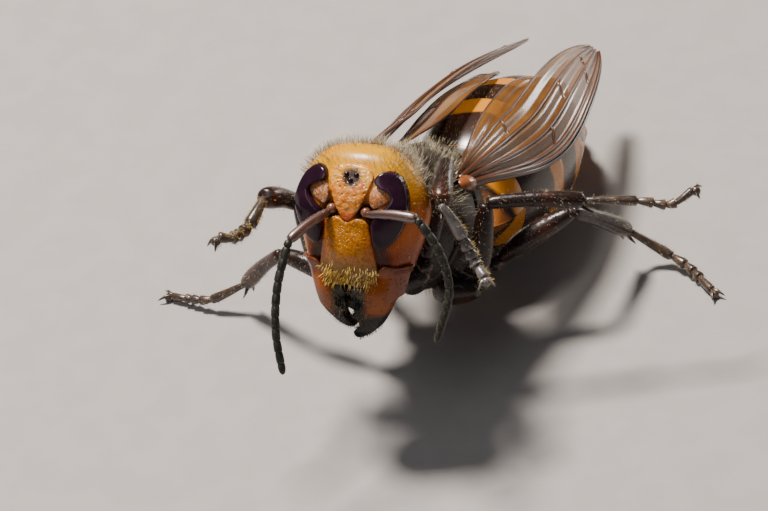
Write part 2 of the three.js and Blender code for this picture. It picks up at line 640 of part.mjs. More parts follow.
const FOOT_JOINTS = [0, 0.47, 0.61, 0.72, 0.81, 1];
const CLAW_RADII = [[0, CLAW_RADIUS], [0.6, 0.12], [1, 0.05]];

function footRadii(size) {
  return FOOT_JOINTS.slice(1).flatMap((end, index) => {
    const start = FOOT_JOINTS[index];
    const wide = (index === 4 ? 0.28 : 0.33) * size;
    return [[start + 0.004, 0.25 * size], [end - 0.02, wide], [end - 0.004, wide * 0.8]];
  });
}

for (const [name, leg] of Object.entries(LEGS)) {
  const { hip, trochanter, knee, ankle, foot, claws, size, footSize } = leg;
  const scaled = (radii, scale) => radii.map(([at, radius]) => [at, radius * scale]);
  const coxaLine = [hip, trochanter];
  const femurLine = [trochanter, trochanter.clone().lerp(knee, 0.55).add(vec(0, 0, 0.25)), knee];
  const tibiaLine = [knee, knee.clone().lerp(ankle, 0.5).add(vec(0, 0, 0.2)), ankle];
  const footLine = [ankle, ...foot];
  const wide = { grow: GAP };
  const coxa = solidOf(limb(coxaLine, scaled(COXA_RADII, size), { sides: 10 }));
  const femur = solidOf(limb(femurLine, scaled(FEMUR_RADII, size)));
  const coxaGrown = solidOf(limb(coxaLine, scaled(COXA_RADII, size), wide));
  const femurGrown = solidOf(limb(femurLine, scaled(FEMUR_RADII, size), wide));
  const tibiaGrown = solidOf(limb(tibiaLine, scaled(TIBIA_RADII, footSize), wide));
  const footGrown = solidOf(limb(footLine, footRadii(footSize), wide));
  let tibia = solidOf(limb(tibiaLine, scaled(TIBIA_RADII, footSize)));
  const aim = ankle.clone().sub(knee).normalize();
  const down = vec(0, 0, -1).addScaledVector(aim, aim.z).normalize();
  const spurs = name.startsWith('fore') ? [0] : [-1, 1];
  for (const turn of spurs) {
    const out = down.clone().addScaledVector(aim.clone().cross(down), turn * SPUR_SPREAD).normalize();
    const root = ankle.clone().addScaledVector(aim, -0.35).addScaledVector(out, 0.25 * footSize);
    const end = root.clone().addScaledVector(aim, SPUR_LENGTH * footSize).addScaledVector(out, SPUR_FLARE);
    const spur = solidOf(limb([root, end], [[0, SPUR_RADIUS], [0.95, 0.05]], { sides: 5 }));
    tibia = tibia.add(spur.subtract(footGrown));
  }
  let tarsus = solidOf(limb(footLine, footRadii(footSize)));
  const tip = foot[foot.length - 1];
  for (const claw of claws) {
    const crest = tip.clone().lerp(claw, 0.6).add(vec(0, 0, 0.12));
    tarsus = tarsus.add(solidOf(limb([tip, crest, claw], CLAW_RADII, { sides: 5 })));
  }
  const pad = tip.clone().lerp(claws[0].clone().lerp(claws[1], 0.5), 0.35);
  if (tip.z < STANDING_HEIGHT) pad.z = PAD_HEIGHT;
  tarsus = tarsus.add(ball(pad, PAD_RADIUS, vec(1, 1, 0.95), 8));
  add(`coxa_${name}`, coxa.subtract(thoraxWide), LEG_BROWN);
  add(`femur_${name}`, femur.subtract(coxaGrown).subtract(thoraxWide), LEG_BROWN);
  add(`tibia_${name}`, tibia.subtract(femurGrown), LEG_BROWN);
  add(`tarsus_${name}`, tarsus.subtract(tibiaGrown).intersect(floorBlock), TARSUS_BROWN);
}

// The origin is at the middle of the footprint, on the floor
const bounds = new THREE.Box3().setFromObject(hornet, true);
const middlePoint = bounds.getCenter(vec(0, 0, 0));
hornet.position.set(-middlePoint.x, -middlePoint.y, 0);

export default hornet;
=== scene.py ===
import json
import math

import bmesh
import bpy
import numpy as np
from mathutils import Matrix, Vector

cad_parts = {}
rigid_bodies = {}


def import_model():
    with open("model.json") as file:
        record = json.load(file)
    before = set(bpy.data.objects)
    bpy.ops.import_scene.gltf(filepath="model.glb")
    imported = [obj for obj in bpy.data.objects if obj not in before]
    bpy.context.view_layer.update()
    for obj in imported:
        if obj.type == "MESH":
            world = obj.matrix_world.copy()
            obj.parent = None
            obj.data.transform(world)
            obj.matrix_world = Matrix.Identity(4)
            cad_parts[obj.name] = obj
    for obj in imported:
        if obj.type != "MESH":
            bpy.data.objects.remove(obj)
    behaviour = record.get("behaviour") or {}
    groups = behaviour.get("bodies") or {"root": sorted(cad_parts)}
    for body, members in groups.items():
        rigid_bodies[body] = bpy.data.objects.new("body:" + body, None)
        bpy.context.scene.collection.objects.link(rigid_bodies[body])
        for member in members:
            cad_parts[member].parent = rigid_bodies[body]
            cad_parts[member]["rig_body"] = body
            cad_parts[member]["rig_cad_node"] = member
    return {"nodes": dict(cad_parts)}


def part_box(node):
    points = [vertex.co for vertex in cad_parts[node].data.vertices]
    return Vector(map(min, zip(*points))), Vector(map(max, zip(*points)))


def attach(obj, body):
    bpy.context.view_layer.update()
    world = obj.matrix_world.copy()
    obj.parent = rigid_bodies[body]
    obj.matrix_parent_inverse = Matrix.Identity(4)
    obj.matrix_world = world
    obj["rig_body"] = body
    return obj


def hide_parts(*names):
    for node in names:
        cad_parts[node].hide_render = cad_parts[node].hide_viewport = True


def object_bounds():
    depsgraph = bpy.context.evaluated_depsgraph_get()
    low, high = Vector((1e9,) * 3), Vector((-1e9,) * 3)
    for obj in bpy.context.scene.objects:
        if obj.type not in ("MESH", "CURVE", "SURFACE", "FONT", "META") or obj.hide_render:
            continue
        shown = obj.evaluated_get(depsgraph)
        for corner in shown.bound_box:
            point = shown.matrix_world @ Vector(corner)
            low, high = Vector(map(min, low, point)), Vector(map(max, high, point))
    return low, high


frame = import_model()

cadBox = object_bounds()
mm = 0.001

# Everything is modelled in millimetres round the thorax, with the hornet facing -Y,
# and then set down in the frame, whose origin is the middle of the footprint.
stance = {
    'thoraxHeight': 10.4,
    'thoraxPitch': math.radians(30),
    'headPlace': (0.2, -8.6, 1.1),
    'headYaw': math.radians(1.5),
    'headPitch': math.radians(20.5),
    'chestReach': 4.652,  # from the front of the mesothorax's box back to the thorax's middle
}
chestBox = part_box('mesothorax')
shift = Vector((
    (chestBox[0].x + chestBox[1].x) / 2 / mm,
    chestBox[0].y / mm + stance['chestReach'],
    0,
))
toScene = Matrix.Scale(mm, 4) @ Matrix.Translation(shift)
thoraxFrame = (
    Matrix.Translation((0, 0, stance['thoraxHeight']))
    @ Matrix.Rotation(-stance['thoraxPitch'], 4, 'X')
)
headFrame = (
    Matrix.Translation(thoraxFrame @ Vector(stance['headPlace']))
    @ Matrix.Rotation(stance['headYaw'], 4, 'Z')
    @ Matrix.Rotation(-stance['headPitch'], 4, 'X')
)
groundFrame = Matrix.Identity(4)
sides = (('left', 1), ('right', -1))
floorGap = 0.02
up = Vector((0, 0, 1))
random = np.random.default_rng(7)


# Tools of the trade

def clearSelection():
    if bpy.context.object and bpy.context.object.mode != 'OBJECT':
        bpy.ops.object.mode_set(mode='OBJECT')
    bpy.ops.object.select_all(action='DESELECT')


def makeActive(piece):
    clearSelection()
    piece.select_set(True)
    bpy.context.view_layer.objects.active = piece


def applyModifier(piece, kind, **settings):
    makeActive(piece)
    modifier = piece.modifiers.new(kind.title(), kind)
    for key, value in settings.items():
        setattr(modifier, key, value)
    bpy.ops.object.modifier_apply(modifier=modifier.name)


def applyTransform():
    bpy.ops.object.transform_apply(location=True, rotation=True, scale=True)


def weld(gap=0.0):
    # closes the active mesh's seams and turns its faces outwards
    bpy.ops.object.mode_set(mode='EDIT')
    bpy.ops.mesh.select_all(action='SELECT')
    if gap:
        bpy.ops.mesh.remove_doubles(threshold=gap)
    bpy.ops.mesh.normals_make_consistent(inside=False)
    bpy.ops.object.mode_set(mode='OBJECT')


def ball(radius, spot, segments=20, rings=14):
    clearSelection()
    bpy.ops.mesh.primitive_uv_sphere_add(
        segments=segments,
        ring_count=rings,
        radius=radius,
        location=spot,
    )
    applyTransform()
    return bpy.context.object


def finishPiece(piece, name, local, material, nodes=(), smoothAngle=180):
    # local is the frame that the piece was modelled in
    piece.name = name
    makeActive(piece)
    piece.matrix_world = toScene @ local
    applyTransform()
    bpy.ops.object.shade_smooth()
    if smoothAngle < 180:
        bpy.ops.object.shade_smooth_by_angle(angle=math.radians(smoothAngle))
    piece.data.materials.clear()
    piece.data.materials.append(material)
    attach(piece, 'root')
    if nodes:
        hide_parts(*nodes)
    return piece


def copyNode(node, local, voxel, passes):
    # a smooth skin over a copy of a solid, brought into a local frame
    makeActive(frame['nodes'][node])
    bpy.ops.object.duplicate()
    piece = bpy.context.object
    bpy.ops.object.parent_clear(type='CLEAR_KEEP_TRANSFORM')
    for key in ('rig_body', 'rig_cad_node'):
        if key in piece:
            del piece[key]
    piece.data.materials.clear()
    piece.matrix_world = (toScene @ local).inverted()
    applyTransform()
    bpy.ops.object.mode_set(mode='EDIT')
    bpy.ops.mesh.select_all(action='SELECT')
    bpy.ops.mesh.remove_doubles(threshold=0.002)
    bpy.ops.object.mode_set(mode='OBJECT')
    applyModifier(piece, 'REMESH', mode='VOXEL', voxel_size=voxel)
    applyModifier(piece, 'SMOOTH', factor=0.5, iterations=passes)
    return piece


def pull(piece, centre, move, reach):
    # moves the nearest point, and what is within reach of it along with it
    makeActive(piece)
    bpy.ops.object.mode_set(mode='EDIT')
    mesh = bmesh.from_edit_mesh(piece.data)
    target = Vector(centre)
    nearest = min(mesh.verts, key=lambda vert: (vert.co - target).length_squared)
    for vert in mesh.verts:
        vert.select = vert is nearest
    mesh.select_flush(True)
    bmesh.update_edit_mesh(piece.data)
    bpy.ops.transform.translate(
        value=move,
        use_proportional_edit=True,
        proportional_edit_falloff='SMOOTH',
        proportional_size=reach,
    )
    bpy.ops.object.mode_set(mode='OBJECT')


def pullAll(piece, pulls, mirror=1):
    for (x, y, z), (moveX, moveY, moveZ), reach in pulls:
        pull(piece, (x * mirror, y, z), (moveX * mirror, moveY, moveZ), reach)


def hermite(t, start, startSlope, end, endSlope, span=1):
    return (
        (2 * t ** 3 - 3 * t ** 2 + 1) * start
        + (t ** 3 - 2 * t ** 2 + t) * span * startSlope
        + (3 * t ** 2 - 2 * t ** 3) * end
        + (t ** 3 - t ** 2) * span * endSlope
    )


def smoothTable(stations, values, at):
    # the value between stations, along a curve through all of them
    at = min(max(at, stations[0]), stations[-1])
    index = max(k for k in range(len(stations) - 1) if stations[k] <= at)
    low, high = stations[index], stations[index + 1]

    def slope(k):
        before, after = max(k - 1, 0), min(k + 1, len(stations) - 1)
        return (values[after] - values[before]) / (stations[after] - stations[before])

    span = high - low
    start, end = values[index], values[index + 1]
    return hermite((at - low) / span, start, slope(index), end, slope(index + 1), span)


def smoothPath(points, steps=24):
    # a curve through the points that doesn't overshoot where they are unevenly spaced
    points = [Vector(point) for point in points]
    if len(points) == 2:
        return [points[0].lerp(points[1], k / steps) for k in range(steps + 1)]
    ends = [2 * points[0] - points[1], *points, 2 * points[-1] - points[-2]]
    traced = []
    for k in range(len(points) - 1):
        p0, p1, p2, p3 = ends[k:k + 4]
        d0, d1, d2 = (max((b - a).length ** 0.5, 1e-4) for a, b in ((p0, p1), (p1, p2), (p2, p3)))
        m1 = ((p1 - p0) / d0 - (p2 - p0) / (d0 + d1) + (p2 - p1) / d1) * d1
        m2 = ((p2 - p1) / d1 - (p3 - p1) / (d1 + d2) + (p3 - p2) / d2) * d1
        traced += [hermite(step / steps, p1, m1, p2, m2) for step in range(steps)]
    traced.append(points[-1])
    return traced


class Route:
    # a traced path that gives the point at any distance along it
    def __init__(self, points):
        self.points = smoothPath(points)
        self.reached = [0.0]
        for a, b in zip(self.points, self.points[1:]):
            self.reached.append(self.reached[-1] + (b - a).length)
        self.length = self.reached[-1]

    def at(self, distance):
        distance = min(max(distance, 0), self.length)
        k = min(np.searchsorted(self.reached, distance, 'right') - 1, len(self.points) - 2)
        part = (distance - self.reached[k]) / max(self.reached[k + 1] - self.reached[k], 1e-9)
        return self.points[k].lerp(self.points[k + 1], part)

    def heading(self, distance):
        return (self.at(distance + 0.05) - self.at(distance - 0.05)).normalized()


def tube(route, profile, bevel=6):
    # profile: distance along the route and radius there, in millimetres
    bpy.ops.object.select_all(action='DESELECT')
    bpy.ops.curve.primitive_bezier_curve_add()
    piece = bpy.context.object
    curve = piece.data
    curve.splines.clear()
    spline = curve.splines.new('POLY')
    spline.points.add(len(profile) - 1)
    for point, (distance, radius) in zip(spline.points, profile):
        within = min(max(distance, 0), route.length)
        spot = route.at(distance) + route.heading(within) * (distance - within)
        point.co = (*spot, 1)
        point.radius = radius
    curve.bevel_depth = 1
    curve.bevel_resolution = bevel
    curve.use_fill_caps = True
    curve.twist_mode = 'MINIMUM'
    bpy.ops.object.convert(target='MESH')
    weld(0.0008)
    return bpy.context.object


def roundedProfile(length, stations, steps=26, cap=0.06):
    # radii at fractions of the length, smoothed, with both ends closed in a dome
    places = [station for station, radius in stations]
    radii = [radius for station, radius in stations]
    profile = [(0, radii[0] * 0.15), (cap * 0.3 * radii[0], radii[0] * 0.6)]
    for step in range(steps + 1):
        part = step / steps
        inset = cap + part * (length - 2 * cap)
        profile.append((inset, smoothTable(places, radii, part)))
    profile += [(length - cap * 0.3 * radii[-1], radii[-1] * 0.6), (length, radii[-1] * 0.15)]
    return profile


def joinPieces(pieces):
    makeActive(pieces[0])
    for piece in pieces:
        piece.select_set(True)
    bpy.ops.object.join()
    return bpy.context.object


# Shader groups shared by several materials

def addNode(tree, kind, inputs=None, **settings):
    node = tree.nodes.new(kind)
    for key, value in settings.items():
        setattr(node, key, value)
    for label, value in (inputs or {}).items():
        node.inputs[label].default_value = value
    return node


def newGroup(name, values, output):
    # a group that takes a vector and named values, and puts out one value
    group = bpy.data.node_groups.new(name, 'ShaderNodeTree')
    group.interface.new_socket('Vector', in_out='INPUT', socket_type='NodeSocketVector')
    for label in values:
        group.interface.new_socket(label, in_out='INPUT', socket_type='NodeSocketFloat')
    group.interface.new_socket(output, in_out='OUTPUT', socket_type='NodeSocketFloat')
    start = group.nodes.new('NodeGroupInput').outputs
    end = group.nodes.new('NodeGroupOutput').inputs[output]
    return group, start, end


def pittedShellGroup():
    # small round pits over a faintly uneven shell
    group, start, end = newGroup('pittedShell', ('Pits', 'Depth'), 'Height')
    pits = addNode(group, 'ShaderNodeTexVoronoi', {'Randomness': 1.0}, feature='F1')
    bowl = addNode(group, 'ShaderNodeMapRange', {'From Max': 0.32}, interpolation_type='SMOOTHSTEP')
    depth = addNode(group, 'ShaderNodeMath', operation='MULTIPLY')
    swell = addNode(group, 'ShaderNodeTexNoise', {'Scale': 1.1, 'Detail': 5})
    total = addNode(group, 'ShaderNodeMath', operation='ADD')
    link = group.links.new
    link(start['Vector'], pits.inputs['Vector'])
    link(start['Pits'], pits.inputs['Scale'])
    link(pits.outputs['Distance'], bowl.inputs['Value'])
    link(bowl.outputs['Result'], depth.inputs[0])
    link(start['Depth'], depth.inputs[1])
    link(start['Vector'], swell.inputs['Vector'])
    link(depth.outputs[0], total.inputs[0])
    link(swell.outputs['Fac'], total.inputs[1])
    link(total.outputs[0], end)
    return group


def mottleGroup():
    # soft blotches: nothing where the noise is under Low, one where it is over High
    group, start, end = newGroup('mottle', ('Scale', 'Detail', 'Low', 'High'), 'Mask')
    noise = addNode(group, 'ShaderNodeTexNoise')
    ramp = addNode(group, 'ShaderNodeMapRange', interpolation_type='SMOOTHSTEP')
    link = group.links.new
    for label in ('Vector', 'Scale', 'Detail'):
        link(start[label], noise.inputs[label])
    link(start['Low'], ramp.inputs['From Min'])
    link(start['High'], ramp.inputs['From Max'])
    link(noise.outputs['Fac'], ramp.inputs['Value'])
    link(ramp.outputs['Result'], end)
    return group


pittedShell = pittedShellGroup()
mottle = mottleGroup()


class Paint:
    # a material on Object coordinates brought into a local frame in millimetres
    def __init__(self, name, color, local=groundFrame, roughness=0.4, pits=5.0, depth=0.4, bump=0.02):
        self.material = bpy.data.materials.new(name)
        self.material.use_nodes = True
        self.tree = self.material.node_tree
        self.tree.nodes.clear()
        output = addNode(self.tree, 'ShaderNodeOutputMaterial')
        self.shader = addNode(self.tree, 'ShaderNodeBsdfPrincipled', {'Roughness': roughness})
        self.link(self.shader.outputs[0], output.inputs['Surface'])
        turned = (toScene @ local).inverted()
        coords = addNode(self.tree, 'ShaderNodeTexCoord')
        mapping = addNode(self.tree, 'ShaderNodeMapping', {
            'Location': turned.to_translation(),
            'Rotation': turned.to_3x3().normalized().to_euler('XYZ'),
            'Scale': (1 / mm,) * 3,
        })
        self.link(coords.outputs['Object'], mapping.inputs['Vector'])
        self.vector = mapping.outputs['Vector']
        shell = addNode(self.tree, 'ShaderNodeGroup', node_tree=pittedShell)
        shell.inputs['Pits'].default_value = pits
        shell.inputs['Depth'].default_value = depth
        self.link(self.vector, shell.inputs['Vector'])
        self.height = shell.outputs['Height']
        self.bump = addNode(self.tree, 'ShaderNodeBump', {'Strength': 0.5, 'Distance': bump * mm})
        self.link(self.height, self.bump.inputs['Height'])
        self.link(self.bump.outputs['Normal'], self.shader.inputs['Normal'])
        split = addNode(self.tree, 'ShaderNodeSeparateXYZ')
        self.link(self.vector, split.inputs[0])
        self.x, self.y, self.z = split.outputs
        self.color = self.constant(color)

    def link(self, a, b):
        self.tree.links.new(a, b)

    def constant(self, color):
        node = addNode(self.tree, 'ShaderNodeRGB')
        node.outputs[0].default_value = (*color, 1)
        return node.outputs[0]

    def ramp(self, value, low, high):
        ends = {'From Min': low, 'From Max': high}
        node = addNode(self.tree, 'ShaderNodeMapRange', ends, interpolation_type='SMOOTHSTEP')
        self.link(value, node.inputs['Value'])
        return node.outputs['Result']

    def near(self, centre, inner, outer, stretch=(1, 1, 1)):
        # one at the centre, fading to nothing at the outer distance
        away = addNode(self.tree, 'ShaderNodeVectorMath', {1: centre}, operation='SUBTRACT')
        shrink = tuple(1 / part for part in stretch)
        scaled = addNode(self.tree, 'ShaderNodeVectorMath', {1: shrink}, operation='MULTIPLY')
        length = addNode(self.tree, 'ShaderNodeVectorMath', operation='LENGTH')
        self.link(self.vector, away.inputs[0])
        self.link(away.outputs[0], scaled.inputs[0])
        self.link(scaled.outputs[0], length.inputs[0])
        return self.ramp(length.outputs['Value'], outer, inner)

    def noise(self, scale, detail=4.0, low=0.4, high=0.6):
        node = addNode(self.tree, 'ShaderNodeGroup', node_tree=mottle)
        for label, value in (('Scale', scale), ('Detail', detail), ('Low', low), ('High', high)):
            node.inputs[label].default_value = value
        self.link(self.vector, node.inputs['Vector'])
        return node.outputs['Mask']

    def math(self, operation, a, b):
        node = addNode(self.tree, 'ShaderNodeMath', operation=operation)
        for socket, value in zip(node.inputs, (a, b)):
            if isinstance(value, (int, float)):
                socket.default_value = value
            else:
                self.link(value, socket)
        return node.outputs[0]

    def coat(self, mask, color, amount=1.0):
        node = addNode(self.tree, 'ShaderNodeMix', data_type='RGBA')
        if amount < 1:
            mask = self.math('MULTIPLY', mask, amount)
        self.link(mask, node.inputs['Factor'])
        self.link(self.color, node.inputs['A'])
        self.link(self.constant(color), node.inputs['B'])
        self.color = node.outputs['Result']

    def crumple(self, scale, height):
        # coarse wrinkles under the fine pits
        folding = {'Scale': scale, 'Detail': 3, 'Distortion': 0.6}
        folds = addNode(self.tree, 'ShaderNodeTexNoise', folding)
        self.link(self.vector, folds.inputs['Vector'])
        bend = addNode(self.tree, 'ShaderNodeBump', {'Strength': 0.8, 'Distance': height * mm})
        self.link(folds.outputs['Fac'], bend.inputs['Height'])
        self.link(bend.outputs['Normal'], self.bump.inputs['Normal'])

    def byHeight(self, low, high):
        return self.ramp(self.z, low, high)

    def byFlank(self, low, high):
        # how far off the middle, to either side
        return self.ramp(self.math('ABSOLUTE', self.x, 0), low, high)

    def byPit(self, low, high):
        return self.ramp(self.height, low, high)

    def done(self, **settings):
        self.link(self.color, self.shader.inputs['Base Color'])
        for label, value in settings.items():
            self.shader.inputs[label.replace('_', ' ')].default_value = value
        return self.material


def layered(name, look, local=groundFrame):
    # base: colour, roughness, pits, their depth, bump; each coat: kind of mask, its values, colour, amount
    color, roughness, pits, depth, bump = look['base']
    paint = Paint(name, color, local, roughness, pits, depth, bump)
    for kind, values, color, amount in look['coats']:
        paint.coat(getattr(paint, kind)(*values), color, amount)
    return paint


def shellFinish(name, look, local=groundFrame):
    return layered(name, look, local).done(**look['gloss'])


# Camera at the photo's angle: high, off the hornet's left cheek, the head left of the middle

view = {
    'azimuth': math.radians(28),
    'elevation': math.radians(36),
    'roll': math.radians(9),
    'distance': 200.0,
    'lens': 150,
    'sensor': 36,
    'imageSize': (768, 511),
    'headPixel': (365, 216),
    'aim': (0.3, -8.6, 1.1),  # the middle of the head, in the thorax's own millimetres
}


def makeCamera():
    azimuth, elevation, roll = view['azimuth'], view['elevation'], view['roll']
    back = Vector((
        math.sin(azimuth) * math.cos(elevation),
        -math.cos(azimuth) * math.cos(elevation),
        math.sin(elevation),
    ))
    level = Vector((math.cos(azimuth), math.sin(azimuth), 0))
    upright = back.cross(level)
    right = level * math.cos(roll) - upright * math.sin(roll)
    up = level * math.sin(roll) + upright * math.cos(roll)
    width, height = view['imageSize']
    pixel = view['distance'] * view['sensor'] / view['lens'] / width
    offRight = (view['headPixel'][0] - width / 2) * pixel
    offUp = (height / 2 - view['headPixel'][1]) * pixel
    eye = thoraxFrame @ Vector(view['aim']) + back * view['distance'] - right * offRight - up * offUp
    turn = Matrix((right, up, back)).transposed().to_4x4()
    bpy.ops.object.camera_add()
    camera = bpy.context.object
    camera.name = 'photoCamera'
    camera.data.lens = view['lens']
    camera.data.sensor_width = view['sensor']
    camera.data.clip_start = 0.002
    camera.data.clip_end = 10
    camera.matrix_world = Matrix.Translation(toScene @ eye) @ turn
    bpy.context.scene.camera = camera


studio = {
    'floorSize': 3.0,
    'floorColor': (0.34, 0.31, 0.295),
    'floorMottle': (0.325, 0.295, 0.28),
    'worldColor': (0.80, 0.88, 1.0, 1),
    'worldStrength': 0.10,
    'aim': (0, -0.003, 0.012),
    # name, place seen from the camera (right, up, towards it) in metres, size, watts, colour
    'lights': (
        ('key', (-0.12, 0.31, 0.12), 0.085, 3.6, (1.0, 0.95, 0.88)),
        ('fill', (-0.20, 0.12, 0.34), 0.22, 0.36, (0.94, 0.97, 1.0)),
        ('rim', (0.25, 0.20, -0.22), 0.10, 0.5, (1.0, 0.95, 0.9)),
    ),
}


def makeStudio():
    clearSelection()
    bpy.ops.mesh.primitive_plane_add(size=studio['floorSize'], location=(0, 0, 0))
    floor = bpy.context.object
    floor.name = 'studioFloor'
    paint = Paint('palePaper', studio['floorColor'], roughness=0.75, bump=0.02)
    paint.coat(paint.noise(0.35), studio['floorMottle'])
    floor.data.materials.append(paint.done())
    world = bpy.data.worlds.new('studioWorld')
    world.use_nodes = True
    sky = world.node_tree.nodes['Background'].inputs
    sky['Color'].default_value = studio['worldColor']
    sky['Strength'].default_value = studio['worldStrength']
    bpy.context.scene.world = world
    seen = bpy.context.scene.camera.matrix_world.to_3x3()
    aim = Vector(studio['aim'])
    for name, spot, size, watts, color in studio['lights']:
        bpy.ops.object.light_add(type='AREA', location=aim + seen @ Vector(spot))
        light = bpy.context.object
        light.name = name + 'Light'
        light.data.shape = 'DISK'
        light.data.size = size
        light.data.energy = watts
        light.data.color = color
        light.rotation_mode = 'QUATERNION'
        light.rotation_quaternion = (light.location - aim).to_track_quat('Z', 'Y')


clearSelection()
makeCamera()
makeStudio()
print('camera, floor and lights are in place')


# Hair: thin three-sided tapering spikes, joined into one mesh for each patch

# hair tips stay between the floor and just over the crown
coatHeight = (0.05 * mm, cadBox[1].z + 0.45 * mm)
strand = {
    'quickShare': 0.3,  # a smaller share of the coat; growHair grows the whole coat every time
    'combed': 0.9,  # how flat the flow lies along the skin
    'lengths': (0.55, 1.15),
    'widths': (0.8, 1.2),
    'sag': 0.3,  # how far a drooping hair turns in to the skin
    'halfDroop': 0.12,
    'halfWidth': 0.75,
    'tipReach': 0.95,
    'tipDroop': 0.5,
    # where a strand's seven corners lie in its own small patch of the unwrapping
    'patch': ((0, 0), (3, 0), (0, 3), (0, 1.5), (1.5, 0), (1.5, 1.5), (3, 3)),
    'patchSize': 0.001,
}


def unwrapSpot(points, local):
    # how far round and how far along the skin's own long axis a root is
    inverse = np.array((toScene @ local).inverted())
    own = points @ inverse[:3, :3].T + inverse[:3, 3]
    middle = own.mean(0)
    around = np.arctan2(own[:, 0] - middle[0], own[:, 2] - middle[2]) / (2 * math.pi) + 0.5
    along = (own[:, 1] - own[:, 1].min()) / max(np.ptp(own[:, 1]), 1e-6)
    return own, np.stack((around, along), 1) * 0.98 + 0.01


def rootsOn(skin, count):
    mesh = skin.data
    mesh.calc_loop_triangles()
    corners = np.empty(len(mesh.loop_triangles) * 3, np.int32)
    mesh.loop_triangles.foreach_get('vertices', corners)
    corners = corners.reshape(-1, 3)
    spots = np.empty(len(mesh.vertices) * 3, np.float32)
    mesh.vertices.foreach_get('co', spots)
    spots = spots.reshape(-1, 3).astype(float)
    a, b, c = (spots[corners[:, k]] for k in range(3))
    normals = np.cross(b - a, c - a)
    areas = np.linalg.norm(normals, axis=1)
    picked = random.choice(len(areas), count, p=areas / areas.sum())
    u, v = random.random(count), random.random(count)
    flip = u + v > 1
    u[flip], v[flip] = 1 - u[flip], 1 - v[flip]
    points = a[picked] + (b - a)[picked] * u[:, None] + (c - a)[picked] * v[:, None]
    return points, normals[picked] / np.maximum(areas[picked], 1e-20)[:, None]


def unit(vectors):
    return vectors / np.maximum(np.linalg.norm(vectors, axis=-1, keepdims=True), 1e-12)


def growHair(name, skins, look, local, material, keep=None):
    grown = 1
    roots, normals = [], []
    for skin, share in skins:
        points, outward = rootsOn(skin, int(look['count'] * share * grown))
        roots.append(points)
        normals.append(outward)
    roots, normals = np.concatenate(roots), np.concatenate(normals)
    own, spots = unwrapSpot(roots, local)
    turn = np.array((toScene @ local).to_3x3().normalized())
    ownNormals = normals @ turn
    if keep is not None:
        wanted = keep(own, ownNormals) > random.random(len(own))
        roots, normals, own, spots = roots[wanted], normals[wanted], own[wanted], spots[wanted]
    count = len(roots)
    flow = unit(np.array(look['flow'], float)[None, :] @ turn.T + np.zeros((count, 3)))
    flow = unit(flow - normals * (flow * normals).sum(1, keepdims=True) * strand['combed'])
    loose = random.normal(0, look['loose'], (count, 3))
    lean = unit(normals * look['stand'] + flow * (1 - look['stand']) + loose)
    length = look['length'] * mm * random.uniform(*strand['lengths'], (count, 1))
    side = unit(np.cross(lean, random.normal(0, 1, (count, 3))))
    third = np.cross(lean, side)
    width = look['width'] * mm * random.uniform(*strand['widths'], (count, 1)) / 2
    droop = (flow - normals * strand['sag']) * look['curl']
    start = roots - normals * look['width'] * mm
    half = roots + lean * length * 0.5 + droop * length * strand['halfDroop']
    tip = roots + lean * length * strand['tipReach'] + droop * length * strand['tipDroop']
    standing = (tip[:, 2] > coatHeight[0]) & (tip[:, 2] < coatHeight[1])
    count = int(standing.sum())
    start, half, tip, side, third, width, spots = (
        part[standing] for part in (start, half, tip, side, third, width, spots)
    )
    rings = []
    for centre, scale in ((start, 1.0), (half, strand['halfWidth'])):
        for corner in range(3):
            angle = corner * 2 * math.pi / 3
            rings.append(centre + (side * math.cos(angle) + third * math.sin(angle)) * width * scale)
    rings.append(tip)
    verts = np.stack(rings, 1)
    pattern = [(0, 2, 1)]
    for corner in range(3):
        after = (corner + 1) % 3
        pattern += [
            (corner, after, after + 3),
            (corner, after + 3, corner + 3),
            (corner + 3, after + 3, 6),
        ]
    faces = (np.arange(count)[:, None, None] * 7 + np.array(pattern)[None]).reshape(-1, 3)
    mesh = bpy.data.meshes.new(name)
    mesh.from_pydata(verts.reshape(-1, 3).tolist(), [], faces.tolist())
    layer = mesh.uv_layers.new(name='OFBake')
    patch = np.array(strand['patch']) * strand['patchSize']
    places = (spots[:, None, :] + patch[None]).reshape(-1, 2)[faces.reshape(-1)]
    layer.data.foreach_set('uv', places.astype(np.float32).reshape(-1))
    piece = bpy.data.objects.new(name, mesh)
    bpy.context.scene.collection.objects.link(piece)
    makeActive(piece)
    bpy.ops.object.shade_smooth()
    mesh.materials.append(material)
    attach(piece, 'root')
    return piece


def hairPaint(name, root, tip, roughness=0.45):
    paint = Paint(name, root, roughness=roughness, bump=0.001)
    paint.coat(paint.noise(0.9), tip)
    return paint.done(Specular_IOR_Level=0.4)
